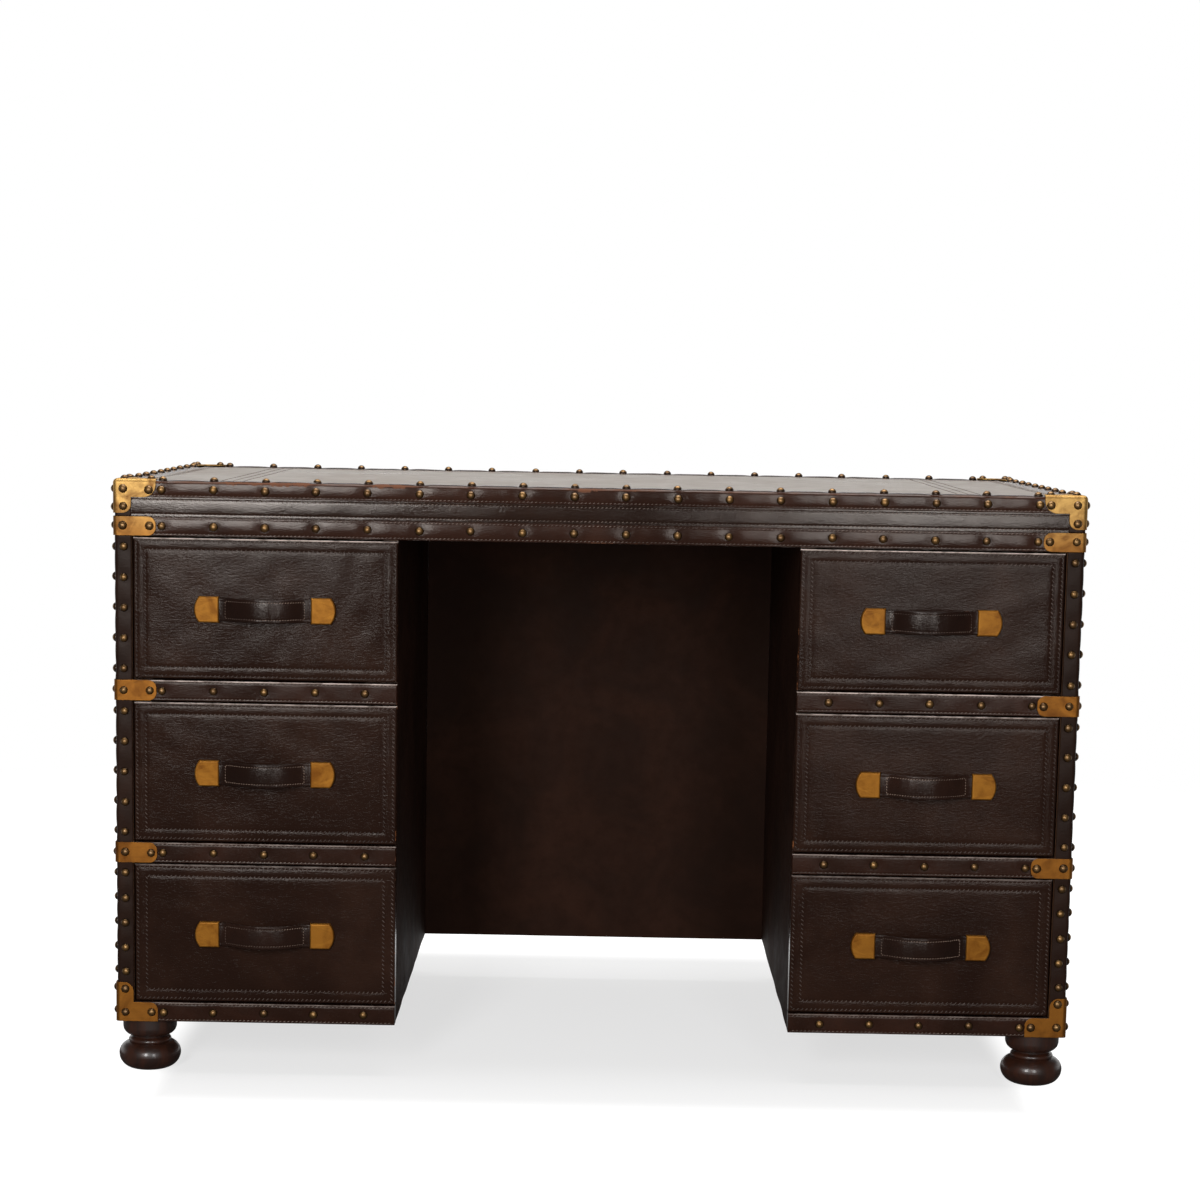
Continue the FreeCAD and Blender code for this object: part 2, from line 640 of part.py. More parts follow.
def drawer_box(low):
    """The sides, back and bottom of a left-hand drawer whose opening starts at the given height."""
    xs = (SIDE_CLEAR - PANEL_FACE, -INNER_FACE - SIDE_CLEAR)
    ys = (FRONT + DRAWER_FRONT, FRONT + DRAWER_FRONT + BOX_DEPTH)
    zs = (low + BOX_LIFT, low + BOX_LIFT + BOX_HEIGHT)
    inside = (xs[0] + BOX_SIDE, xs[1] - BOX_SIDE)
    floor = (zs[0] + BOX_FLOOR_RISE, zs[0] + BOX_FLOOR_RISE + BOX_FLOOR)
    return [
        block((xs[0], inside[0]), ys, zs),
        block((inside[1], xs[1]), ys, zs),
        block(inside, (ys[1] - BOX_SIDE, ys[1]), zs),
        block(inside, (ys[0], ys[1] - BOX_SIDE), floor),
    ]


def drawer_nodes(row):
    """One left-hand drawer: its front board and leather, its box and its pull."""
    low, high = slot_span(row)
    xs = (DRAWER_GAP - PANEL_FACE, -KNEE)
    ys = (FRONT, FRONT + DRAWER_FRONT)
    zs = (low + DRAWER_GAP, high - DRAWER_GAP)
    centre = sum(xs) / 2
    middle = sum(zs) / 2
    cover = block(xs, ys, zs)
    soft = [edge for edge in cover.Edges if edge.BoundBox.YMin < sum(ys) / 2]
    inset = DRAWER_SKIN
    board = block((xs[0] + inset, xs[1] - inset), (ys[0] + inset, ys[1]), (zs[0] + inset, zs[1] - inset))
    cover = cover.makeFillet(DRAWER_ROUND, soft).cut(board)
    caps = pair(left_pull_cap(), left_pull_screw())
    return {
        "front": [drilled(board, centre, middle)],
        "front_leather": [drilled(cover, centre, middle)],
        "box": drawer_box(low),
        "pull_strap": [pull_strap(centre, middle)],
        "pull_caps": [cap.translated(Vector(centre, 0, middle)) for cap in caps],
    }


def desk():
    """Every node of the desk with its solids."""
    nodes = {}
    for group in (top_nodes, panel_nodes, rail_nodes, covering_nodes, brass_nodes, nail_nodes):
        nodes.update(group())
    nodes["feet"] = four_corners(turned_foot())
    for row, level in enumerate(("top", "middle", "bottom")):
        for name, shapes in drawer_nodes(row).items():
            nodes[f"left_{level}_drawer_{name}"] = shapes
            nodes[f"right_{level}_drawer_{name}"] = [across(shape) for shape in shapes]
    return nodes


def main():
    os.makedirs("parts", exist_ok=True)
    for name, shapes in desk().items():
        solids = [solid for shape in shapes for solid in shape.Solids]
        node = solids[0] if len(solids) == 1 else Part.makeCompound(solids)
        node.exportStep(f"parts/{name}.step")


if __name__ == "__main__":
    main()
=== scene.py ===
import math
import random

import bmesh
import bpy
import numpy as np
from mathutils import Matrix, Vector


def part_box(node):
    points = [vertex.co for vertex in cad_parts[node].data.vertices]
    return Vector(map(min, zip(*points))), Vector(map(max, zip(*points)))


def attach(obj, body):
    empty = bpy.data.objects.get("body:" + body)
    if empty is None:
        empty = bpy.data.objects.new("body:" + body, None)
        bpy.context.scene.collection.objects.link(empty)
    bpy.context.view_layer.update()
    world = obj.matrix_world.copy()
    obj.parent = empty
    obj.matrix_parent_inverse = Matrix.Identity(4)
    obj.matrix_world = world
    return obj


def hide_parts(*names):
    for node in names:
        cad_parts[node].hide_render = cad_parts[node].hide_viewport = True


# The looks of a leather-covered campaign desk, in metres, around its CAD frame. The front faces -Y.
# Sheets of leather are height fields laid on the faces of the desk: each has its place, which turns
# (along, across, out) into a point in space, and its height, which is the leather's own relief.

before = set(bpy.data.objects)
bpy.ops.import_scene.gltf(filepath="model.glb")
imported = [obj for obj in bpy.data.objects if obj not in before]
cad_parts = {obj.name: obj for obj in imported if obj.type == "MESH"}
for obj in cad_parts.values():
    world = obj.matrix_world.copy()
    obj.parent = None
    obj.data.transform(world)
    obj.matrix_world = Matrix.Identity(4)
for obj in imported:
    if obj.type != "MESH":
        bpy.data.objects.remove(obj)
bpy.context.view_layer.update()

# Places read from the frame
BODY_LOW, BODY_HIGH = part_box("top_edge_binding")
SIDE, FRONT, BACK, TOP = BODY_HIGH.x, BODY_LOW.y, BODY_HIGH.y, BODY_HIGH.z
MIDDLE = (FRONT + BACK) / 2
TOP_BAND = TOP - BODY_LOW.z
FIELD_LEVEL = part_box("top_leather")[1].z
DRAWERS = [f"{side}_{row}_drawer" for side in ("left", "right") for row in ("top", "middle", "bottom")]

X, Y, Z = np.eye(3)
FACES = {"front": (X, Y), "back": (-X, -Y), "left": (-Y, X), "right": (Y, -X)}

# Leather: thickness of the strips and skins, and the round of their outer corners
BAND = 0.0022
SKIN = 0.0014
DRAWER_SKIN = 0.0016
CORNER_ROUND = 0.0046
CORNER_ARC = CORNER_ROUND * math.pi / 2
BORDER = 0.024
STILE = 0.022
END_INSET = 0.008
FIELD_CLEAR = 0.0003

# Relief of the leather: rounded edges, swells and dimples, and the height and size of its ripples
BAND_ROUND = 0.0014
DRAWER_ROUND = 0.0032
PANEL_ROUND = 0.0008
BAND_CROWN = 0.0011
TOP_CROWN = 0.0018
STILE_CROWN = 0.0005
FRIEZE_CROWN = 0.0004
FRIEZE_LIFT = 0.0007
DRAWER_CROWN = 0.0007
DIMPLE = 0.0009
DIMPLE_REACH = 0.0095
BAND_RIPPLE = (0.00016, 0.055)
FRIEZE_RIPPLE = (0.00012, 0.05)
PANEL_RIPPLE = (0.00035, 0.11)
DRAWER_RIPPLE = (0.00026, 0.06)
FIELD_RIPPLE = (0.00012, 0.16)
STRAP_RIPPLE = (0.00014, 0.012)
WAVES = 14
WAVE_SPREAD = (0.5, 2.2)

# How deep a drawer's leather may dip at its edge, and over the board that it wraps
BOARD_IN = (0.0, 0.0012)
BOARD_DOWN = (-0.005, -0.0013)

# Grids of the sheets: steps along and across, close steps at edges and seams, and the least step
BAND_STEPS = (0.0032, 0.0014)
RAIL_STEPS = (0.0032, 0.0016)
FRIEZE_STEPS = (0.006, 0.002)
STILE_STEPS = (0.004, 0.0018)
DRAWER_STEP = 0.0048
PANEL_STEP = 0.012
EDGE_STEPS = (0.0001, 0.0004, 0.0009, 0.0016, 0.0026)
MARK_STEPS = (-0.0018, -0.0009, -0.0003, 0.0003, 0.0009, 0.0018)
LEAST_STEP = 0.00008

# Meshes: how close points count as one, in metres and in decimals, and the angle that makes an edge sharp
WELD = 0.000001
WELD_DECIMALS = 6
SHARP = math.radians(50)
NEVER_SHARP = math.pi

# Wear: its strength and reach, and its shares at the left, right, bottom and top of a sheet. Rails and
# drawers have it at their far side, knee side, bottom and top
FOLD_WEAR, FOLD_REACH = 1.7, 0.0046
BINDING_WEAR, BINDING_REACH = 0.35, 0.0012
STILE_WEAR, STILE_REACH = 0.45, 0.003
STRAP_WEAR, STRAP_REACH = 0.7, 0.001
EDGE_REACH, DRAWER_REACH = 0.0014, 0.0015
LOWER_WORN = (0, 0, 1.0, 0.4)
BAND_WORN = (0, 0, 0.6, 0.6)
RAIL_WORN = (0, 1.0, 0.5, 0.4)
DRAWER_WORN = (0.3, 0.7, 0.3, 0.1)

# Painted highlight on the upper edges, a pale colour for light caught on their rounding: how far in its line
# lies, how wide it is, and how it fades between two levels, weaker near the floor
HIGHLIGHT_IN = 0.0006
HIGHLIGHT_REACH = 0.0008
HIGHLIGHT_LEVELS = (0.25, 0.62)
HIGHLIGHT_SHARES = (0.2, 0.95)

# Thread: pitch, half length as a share of the pitch, radius and slant of the stitches of each kind,
# their shape, the rows counted in from an edge, and where rows end
FINE_STITCH = (0.0052, 0.34, 0.00065, math.radians(24))
BOLD_STITCH = (0.0056, 0.44, 0.0008, math.radians(45))
STRAP_STITCH = (0.0034, 0.34, 0.00065, math.radians(24))
STITCH_STATIONS = (-1.0, -0.55, 0.55, 1.0)
STITCH_WIDTHS = (0.35, 1.0, 1.0, 0.35)
STITCH_LIFTS = (-0.35, 0.85, 0.85, -0.35)
STITCH_SINK = 0.5
THREAD_PRESS = 0.0003
PRESS_REACH = 0.0011
SEAM_PRESS = 0.0005
SEAM_REACH = 0.0019
BAND_ROW = 0.0024
FRIEZE_ROW = 0.0032
DRAWER_ROWS = (0.0038, 0.0150)
CAPPED_END = 0.03
OPEN_END = 0.004

# Flat nailed strips: rows of stitches, rounded edges, swell, grid, and where the rows end
LOWER_STRIP = (BAND_ROW, BAND_ROUND, BAND_CROWN, BAND_STEPS, CAPPED_END)
CARCASE_STRIP = (BAND_ROW, BAND_ROUND, BAND_CROWN, RAIL_STEPS, OPEN_END)
RAIL_STRIP = (0.0026, 0.0012, 0.0003, RAIL_STEPS, OPEN_END)

# Tooled lines of the writing field, counted in from the desk's edges
TOOLED_FRAME = (0.034, 0.040)
TOOLED_ENDS = (0.128, 0.142, 0.156)
TOOL_DEPTH = 0.0006
TOOL_WIDTH = 0.0009
TOOLED_SHARE = 0.45

# Dome nails
NAIL_DOME = 0.0042
NAIL_R = 0.0055
NAIL_SKIRT = 0.0011
SKIRT_SHARE = 0.96
NAIL_SIDES = 20
NAIL_RINGS = (0.0, 0.12, 0.28, 0.46, 0.64, 0.82)
NAIL_WANDER = 0.0007
NAIL_LEAN = math.radians(2.5)
NAIL_SPREAD = 0.05

# Strap pulls
STRAP = 0.004
STRAP_TUCK = 0.024
HEEL_SHARE = 0.3
STRAP_EDGE = 0.0016
STRAP_CROWN = 0.0005
STRAP_STATIONS = 72
STRAP_ROUND_POINTS = 5
STRAP_ROW = 0.0042
STRAP_ROW_STEPS = (0.0009, 0.0, -0.0009)
STRAP_END_ROW = 0.009

# Leathers, with colours as screen values of 0 to 255: dark and light dye, worn places, least and greatest
# roughness, strength of the creases and of the grain, and shine
ESPRESSO, UMBER = (29, 17, 12), (40, 25, 18)
TAN, RUSSET = (160, 98, 58), (98, 62, 44)
LEATHERS = {
    "body_leather": (ESPRESSO, UMBER, TAN, (0.12, 0.16), 0.1, 0.12, 0.27),
    "drawer_leather": ((31, 18, 13), (43, 27, 20), TAN, (0.15, 0.2), 0.2, 0.2, 0.1),
    "panel_leather": (ESPRESSO, UMBER, TAN, (0.22, 0.32), 0.3, 0.25, 0.12),
    "band_leather": ((37, 21, 15), (53, 32, 24), RUSSET, (0.15, 0.2), 0.1, 0.1, 0.165),
    "stile_leather": (ESPRESSO, (40, 24, 17), RUSSET, (0.38, 0.48), 0.12, 0.12, 0.1),
    "rail_leather": ((33, 18, 12), (48, 27, 19), RUSSET, (0.24, 0.32), 0.12, 0.12, 0.13),
    # The kneehole's leather is dyed a little lighter than the body's, as painted fill light in the kneehole's
    # shade
    "kneehole_leather": ((34, 20, 14), (48, 29, 21), TAN, (0.6, 0.72), 0.04, 0.06, 0.05),
    "strap_leather": ((26, 15, 11), (38, 22, 16), RUSSET, (0.2, 0.3), 0.15, 0.25, 0.2),
}
# Pale colour painted along upper edges as a highlight
PAINTED_EDGE_HIGHLIGHT = (236, 218, 208)
LEATHER_TINT = (1.0, 0.93, 0.87, 1.0)
FIELD_DYE = (34, 20, 13), (54, 33, 22)
FIELD_SHEEN = (1.0, 0.86, 0.7, 1.0)
TOOLED = (52, 38, 30), (84, 66, 54)
CREASE_STRETCH = 3.0
PEBBLES = 620.0

# Brass: pale, painted near the top of the desk as a highlight where light falls, golden, brown, roughness,
# and how much the pieces differ
BRASSES = {
    "brass": ((198, 158, 92), (148, 96, 38), (108, 64, 26), (0.52, 0.62), 0.15),
    "pull_brass": ((162, 111, 48), (158, 107, 40), (128, 79, 27), (0.58, 0.68), 0.45),
}
# Heights over which brass turns pale, a painted highlight
LIT_BRASS_LEVELS = (0.675, 0.755)
BRASS_EDGE = 0.0009
NAIL_BRIGHT, NAIL_DIM = (146, 111, 66), (114, 85, 53)
# Nail tarnish, and the painted shade that darkens each nail towards its rim
NAIL_TARNISH, NAIL_RIM_SHADE = (76, 52, 32), (52, 36, 25)

# Wood: dark, light, the axis of its grain, the grain of boards that face that way, roughness and varnish
WOODS = {
    "carcase_wood": ((70, 44, 28), (112, 76, 48), "z", "x", 0.55, 0.0),
    "drawer_wood": ((132, 96, 62), (176, 136, 92), "y", "x", 0.55, 0.0),
    "foot_wood": ((28, 15, 10), (56, 29, 18), "z", None, 0.36, 0.32),
}
GRAIN_LONG, GRAIN_SHORT, PORES = 3.0, 42.0, 12

# Thread: clean and grimy
THREADS = {
    "thread": ((126, 110, 100), (58, 46, 40)),
    "strap_thread": ((150, 126, 110), (62, 46, 38)),
    "drawer_thread": ((80, 65, 58), (42, 31, 26)),
}

# Camera: the photograph's own view, found from the desk's corners in its 1200 pixel frame
FRAME_PIXELS = 1200
FOCAL_PIXELS = 2582.4
CENTRE_PIXEL_Y = 726.3
SENSOR = 36.0
EYE = Vector((0.0060, -3.5385, 0.8859))
YAW, PITCH, ROLL = math.radians(0.024), math.radians(-7.464), math.radians(1.029)

# Stage: the floor seen from the camera, whose glow is lowered under the desk as a painted shadow, the floor
# that the desk's light bounces off, the fill light, and where the floor's glow rises out of that painted
# shadow and the desk mirrors the white behind it
FLOOR_R = 2.6
FLOOR_SIDES = 96
FOOTPRINT_SHADOW_GLOW = 0.665
FLOOR_SHADE = (0.3, 0.3, 0.3, 1)
FLOOR_BOUNCE = (0.3, 0.293, 0.286, 1)
FLOOR_DIM = (0.1, 0.098, 0.096, 1)
FILL = (0.26, 0.254, 0.248, 1)
ROOM_DIM = (0.07, 0.068, 0.066, 1)
WHITE = (1, 1, 1, 1)
GLOW_SIDES, GLOW_FRONT = (-0.09, -0.02), (0.07, 0.2)
MIRROR_FLOOR, MIRROR_BACK, MIRROR_RISE = (-0.2, 0.6), (0.0, 0.4), (0.2, 0.45)

# Softboxes: place, aim, size and watts
SOFTBOXES = {
    "left_softbox": ((-0.95, -3.4, 1.36), (-0.1, 0, 0.45), (0.6, 1.5), 69),
    "right_softbox": ((0.78, -3.4, 1.12), (0.1, 0, 0.45), (0.55, 1.6), 35),
    "overhead_softbox": ((0, 0.05, 3.2), (0, 0.05, 0), (2.6, 1.3), 85),
}


# Reading the frame

def solids(node):
    """Lowest and highest corner of each separate solid of a CAD node."""
    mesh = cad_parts[node].data
    points = np.zeros(len(mesh.vertices) * 3)
    mesh.vertices.foreach_get("co", points)
    points = points.reshape(-1, 3)
    edges = np.zeros(len(mesh.edges) * 2, int)
    mesh.edges.foreach_get("vertices", edges)
    welded = np.unique(np.round(points, WELD_DECIMALS), axis=0, return_inverse=True)[1].ravel()
    one, other = welded[edges.reshape(-1, 2)].T
    label = np.arange(welded.max() + 1)
    while (label[one] != label[other]).any():
        lowest = np.minimum(label[one], label[other])
        np.minimum.at(label, one, lowest)
        np.minimum.at(label, other, lowest)
    owner = label[welded]
    groups = [points[owner == each] for each in np.unique(owner)]
    return [(group.min(0), group.max(0)) for group in groups]


def facing(low, high):
    """Name of the desk face that a thin upright box lies on."""
    thick = high - low
    middle = (low + high) / 2
    if thick[0] < thick[1]:
        return "left" if middle[0] < 0 else "right"
    return "front" if middle[1] < MIDDLE else "back"


# Places: functions from (along, across, out) to points

def flat(start, along, up):
    """A flat face from its lower left corner, seen from outside."""
    out = np.cross(along, up)
    return lambda u, v, w: start + np.outer(u, along) + np.outer(v, up) + np.outer(w, out)


def bent(start, first, second, leg):
    """A face that runs along first for a leg, turns a rounded corner and goes on along second."""
    along = np.cross(second, first)
    centre = start + first * leg + second * CORNER_ROUND

    def place(u, v, w):
        angle = np.clip((v - leg) / CORNER_ROUND, 0, math.pi / 2)
        out = np.outer(np.sin(angle), first) - np.outer(np.cos(angle), second)
        before, after = np.minimum(v, leg) - leg, np.maximum(v - leg - CORNER_ARC, 0)
        legs = np.outer(before, first) + np.outer(after, second)
        return centre + out * (CORNER_ROUND + w)[:, None] + legs + np.outer(u, along)

    return place


def box_face(low, high, face):
    """Start corner, direction, length and height of one upright face of a box."""
    along, inward = FACES[face]
    start = np.where(along + inward > 0, low, high)
    start[2] = low[2]
    return start, along, abs(np.dot(high - low, along)), high[2] - low[2]


def body_face(face, z, end):
    """Start, directions and length of a level run on a face of the body, some way in from its ends."""
    start, along, length, _ = box_face(np.array(BODY_LOW), np.array(BODY_HIGH), face)
    start = start + along * end
    start[2] = z
    return start, along, FACES[face][1], length - 2 * end


# Heights: functions from (along, across) to the leather's relief

def bell(way, reach):
    """A smooth bump over a distance, one at its middle."""
    return np.exp(-(way / reach) ** 2)


def inset(u, v, length, width):
    """How far in from the nearest edge of a sheet points lie."""
    return np.minimum(np.minimum(u, length - u), np.minimum(v, width - v))


def stacked(*reliefs):
    """Several reliefs added up."""
    return lambda u, v: sum(relief(u, v) for relief in reliefs)


def softened(length, width, radius):
    """Rounded edges all round a sheet."""
    def height(u, v):
        a = np.maximum(radius - np.minimum(u, length - u), 0)
        b = np.maximum(radius - np.minimum(v, width - v), 0)
        return np.sqrt(np.maximum(radius ** 2 - a ** 2 - b ** 2, 0)) - radius

    return height


def crowned(low, high, crown):
    """A swell across a strip, highest between low and high."""
    return lambda u, v: -crown * ((2 * v - low - high) / (high - low)) ** 2


def two_crowned(fold, width, crown, far_crown):
    """A swell on each side of the fold of a bent strip."""
    near, far = crowned(0, fold, crown), crowned(fold, width, far_crown)
    return lambda u, v: np.where(v < fold, near(u, v), far(u, v))


def pillowed(length, width, crown):
    """A swell over a whole sheet."""
    return lambda u, v: -crown * ((2 * u / length - 1) ** 4 + (2 * v / width - 1) ** 4) / 2


def rippled(seed, ripple):
    """Gentle unevenness of leather glued over boards, mostly inwards."""
    amount, size = ripple
    draw = random.Random(seed)
    waves = []
    for _ in range(WAVES):
        turn = draw.uniform(0, math.tau)
        number = math.tau / (size * draw.uniform(*WAVE_SPREAD))
        waves.append((number * math.cos(turn), number * math.sin(turn), draw.uniform(0, math.tau)))

    def height(u, v):
        total = sum(np.sin(a * u + b * v + shift) for a, b, shift in waves)
        return amount * (total / math.sqrt(WAVES) - 1)

    return height


def dimpled(points):
    """Leather drawn in round its nails."""
    def height(u, v):
        total = np.zeros_like(u)
        for a, b in points:
            total -= DIMPLE * np.exp(-((u - a) ** 2 + (v - b) ** 2) / DIMPLE_REACH ** 2)
        return total

    return height


def nailed(length, width, edge, swell, seed, points):
    """The relief of a nailed strip."""
    return stacked(softened(length, width, edge), swell, rippled(seed, BAND_RIPPLE), dimpled(points))


def pressed(rows):
    """Leather drawn in along straight rows across a strip."""
    return lambda u, v: sum(-THREAD_PRESS * bell(v - row, PRESS_REACH) for row in rows)


def pressed_rings(length, width, insets, depth, reach):
    """Grooves that run round a sheet at some distances from its edges."""
    def height(u, v):
        inward = inset(u, v, length, width)
        return sum(-depth * bell(inward - each, reach) for each in insets)

    return height


def above_board(height, length, width):
    """A relief kept above the board that its sheet wraps."""
    def kept(u, v):
        least = np.interp(inset(u, v, length, width), BOARD_IN, BOARD_DOWN)
        return np.maximum(height(u, v), least)

    return kept


def stops(length, step, marks=()):
    """Places along a side of a sheet: even steps, with close ones at its ends and at the marks."""
    places = list(np.linspace(0, length, max(3, round(length / step) + 1)))
    places += [edge for near in EDGE_STEPS for edge in (near, length - near)]
    places += [mark + off for mark in marks for off in MARK_STEPS]
    kept = [0.0]
    for place in sorted(places):
        if place - kept[-1] > LEAST_STEP and length - place > LEAST_STEP:
            kept.append(place)
    return np.array(kept + [length])


def mirrored(marks, length):
    """Marks counted in from both ends of a side."""
    return [*marks, *[length - mark for mark in marks]]


# Weights painted on sheets: functions from (along, across) to wear or a painted highlight

def edge_wear(length, width, worn, reach=EDGE_REACH):
    """Wear near a sheet's edges, with its shares at the left, right, bottom and top."""
    def wear(u, v):
        ways = (u, length - u, v, width - v)
        return np.max([share * np.exp(-way / reach) for share, way in zip(worn, ways)], axis=0)

    return wear


def knee_worn(low, worn):
    """Shares of wear at a sheet's left, right, bottom and top, from those at its far and knee sides."""
    far, knee, bottom, top = worn
    return worn if low[0] < 0 else (knee, far, bottom, top)


def unpainted(u, v):
    """No wear or painted highlight."""
    return np.zeros_like(u)


def top_polish(width, level):
    """Painted highlight along the upper edge of a sheet, for light caught on its rounding, weaker near the
    floor.
    """
    share = np.interp(level, HIGHLIGHT_LEVELS, HIGHLIGHT_SHARES)
    return lambda u, v: share * (v < width) * bell(width - v - HIGHLIGHT_IN, HIGHLIGHT_REACH)


# Meshes

def placed(name, data):
    """A new object in the scene."""
    thing = bpy.data.objects.new(name, data)
    bpy.context.scene.collection.objects.link(thing)
    return thing


def made(name, points, faces, sharp=SHARP, **paint):
    """An object from points and faces, smooth but for its sharp edges, with its painted weights."""
    mesh = bpy.data.meshes.new(name)
    mesh.from_pydata(np.asarray(points).tolist(), [], [list(face) for face in faces])
    for title, values in paint.items():
        weights = mesh.attributes.new(title, "FLOAT", "POINT")
        weights.data.foreach_set("value", np.asarray(values, np.float32))
    form = bmesh.new()
    form.from_mesh(mesh)
    bmesh.ops.remove_doubles(form, verts=form.verts, dist=WELD)
    form.to_mesh(mesh)
    form.free()
    mesh.polygons.foreach_set("use_smooth", [True] * len(mesh.polygons))
    mesh.set_sharp_from_angle(angle=sharp)
    return placed(name, mesh)


def gathered(parts):
    """Points and faces of several parts as one lot."""
    faces = []
    count = 0
    for points, part_faces in parts:
        faces += [tuple(index + count for index in face) for face in part_faces]
        count += len(points)
    return np.concatenate([points for points, _ in parts]), faces


def ring_faces(rings, around):
    """Faces between rings of points that follow one another."""
    faces = []
    for ring in range(rings - 1):
        for k in range(around):
            a, b = ring * around + k, ring * around + (k + 1) % around
            faces.append((a, b, b + around, a + around))
    return faces


def tube_faces(rings, around):
    """Faces of rings of points with both ends closed."""
    last = around * (rings - 1)
    ends = [tuple(reversed(range(around))), tuple(range(last, last + around))]
    return ring_faces(rings, around) + ends


def cover(name, place, us, vs, height, depth, skin=0.0, wear=unpainted, polish=unpainted):
    """A sheet with relief and closed edges, solid or, where it wraps a board, hollow behind its skin."""
    u, v = [grid.ravel() for grid in np.meshgrid(us, vs, indexing="ij")]
    ids = np.arange(len(u)).reshape(len(us), len(vs))
    quads = np.stack([ids[:-1, :-1], ids[1:, :-1], ids[1:, 1:], ids[:-1, 1:]], axis=-1).reshape(-1, 4)
    rim = np.concatenate([ids[:-1, 0], ids[-1, :-1], ids[:0:-1, -1], ids[0, :0:-1]])
    loops = [(u[rim], v[rim], -depth)]
    if skin:
        inner_u = np.clip(u[rim], us[0] + skin, us[-1] - skin)
        inner_v = np.clip(v[rim], vs[0] + skin, vs[-1] - skin)
        loops += [(inner_u, inner_v, -depth), (inner_u, inner_v, -2 * skin)]
    points = [place(u, v, height(u, v))]
    faces = [tuple(quad) for quad in quads]
    last = rim
    for loop_u, loop_v, level in loops:
        new = len(u) + len(rim) * (len(points) - 1) + np.arange(len(rim))
        points.append(place(loop_u, loop_v, np.full(len(rim), level)))
        faces += [(last[k - 1], new[k - 1], new[k], last[k])[::-1] for k in range(len(rim))]
        last = new
    faces.append(tuple(last[::-1]))
    bare = np.zeros(len(rim) * len(loops))
    worn = np.concatenate([wear(u, v), bare])
    # Weights of the painted highlight on the upper edges
    highlight_weights = np.concatenate([polish(u, v), bare])
    return made(name, np.concatenate(points), faces, wear=worn, polish=highlight_weights)


def stitched(place, height, runs, stitch=FINE_STITCH):
    """Points and faces of the stitches along straight runs (start, end) over a sheet."""
    pitch, share, radius, slant = stitch
    cos, sin = math.cos(slant), math.sin(slant)
    faces = tube_faces(len(STITCH_STATIONS), 3)
    stitches = []
    for start, end in runs:
        start, end = np.array(start), np.array(end)
        length = np.linalg.norm(end - start)
        number = max(1, round(length / pitch))
        way = (end - start) / length
        lean = np.array([way[0] * cos - way[1] * sin, way[0] * sin + way[1] * cos])
        side = np.array([-lean[1], lean[0]])
        middles = start + np.outer((np.arange(number) + 0.5) / number * length, way)
        shape = []
        for station, width, lift in zip(STITCH_STATIONS, STITCH_WIDTHS, STITCH_LIFTS):
            on = middles + lean * station * share * length / number
            for across, up in ((width, -STITCH_SINK), (0, lift), (-width, -STITCH_SINK)):
                u, v = (on + side * across * radius).T
                shape.append(place(u, v, height(u, v) + up * radius))
        stitches += [(points, faces) for points in np.stack(shape, axis=1)]
    return gathered(stitches)


def sewn(name, lots):
    """One piece from several lots of stitches."""
    return made(name, *gathered(lots), sharp=NEVER_SHARP)


def ring_runs(left, bottom, right, top):
    """The four runs of a stitched rectangle."""
    corners = [(left, bottom), (right, bottom), (right, top), (left, top)]
    return list(zip(corners, corners[1:] + corners[:1]))


def fitted(piece, body, slot, node=None, finish=None):
    """Puts a piece on its body with its slot's finish or a variant of it, in place of its node."""
    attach(piece, body)
    if node:
        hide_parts(node)
    piece.data.materials.append(MATERIALS[finish or slot])


# Node trees

def rgb(screen):
    """A colour as Blender takes it, from screen values of 0 to 255."""
    shares = [value / 255 for value in screen]
    linear = [each / 12.92 if each <= 0.04045 else ((each + 0.055) / 1.055) ** 2.4 for each in shares]
    return (*linear, 1.0)


class Nodes:
    """A node tree under construction with short ways to add to it."""

    def __init__(self, tree):
        self.tree = tree
        tree.nodes.clear()

    def add(self, kind, inputs=None, **settings):
        """A new node, its kind named without the start that all kinds share."""
        node = self.tree.nodes.new("ShaderNode" + kind)
        for name, value in settings.items():
            setattr(node, name, value)
        for socket, value in (inputs or {}).items():
            self.set(node, socket, value)
        return node

    def set(self, node, socket, value):
        if isinstance(value, bpy.types.NodeSocket):
            self.tree.links.new(value, node.inputs[socket])
        else:
            node.inputs[socket].default_value = value

    def shader(self, kind, inputs):
        return self.add(kind, inputs).outputs[0]

    def math(self, operation, one, other=0.0):
        return self.add("Math", {0: one, 1: other}, operation=operation).outputs[0]

    def vector(self, operation, one, other=(0, 0, 0)):
        return self.add("VectorMath", {0: one, 1: other}, operation=operation).outputs[0]

    def span(self, value, low, high, to_low=0.0, to_high=1.0):
        inputs = {"Value": value, "From Min": low, "From Max": high, "To Min": to_low, "To Max": to_high}
        return self.add("MapRange", inputs, interpolation_type="SMOOTHSTEP").outputs[0]

    def mix(self, factor, one, other):
        return self.add("Mix", {0: factor, 6: one, 7: other}, data_type="RGBA").outputs[2]

    def axes(self, vector):
        return self.add("SeparateXYZ", {0: vector}).outputs

    def coords(self, kind):
        return self.add("TexCoord").outputs[kind]

    def rays(self, behind):
        """One for rays from the camera and through glass, and for mirrored rays that look behind the desk."""
        paths = self.add("LightPath").outputs
        reflected = self.math("MULTIPLY", paths["Is Glossy Ray"], behind)
        seen = self.math("MAXIMUM", paths["Is Camera Ray"], paths["Is Transmission Ray"])
        return self.math("MAXIMUM", seen, reflected)

    def room(self, fill, dim):
        """The tone that lights the desk, or the dimmer one that it mirrors."""
        return self.mix(self.add("LightPath").outputs["Is Glossy Ray"], fill, dim)


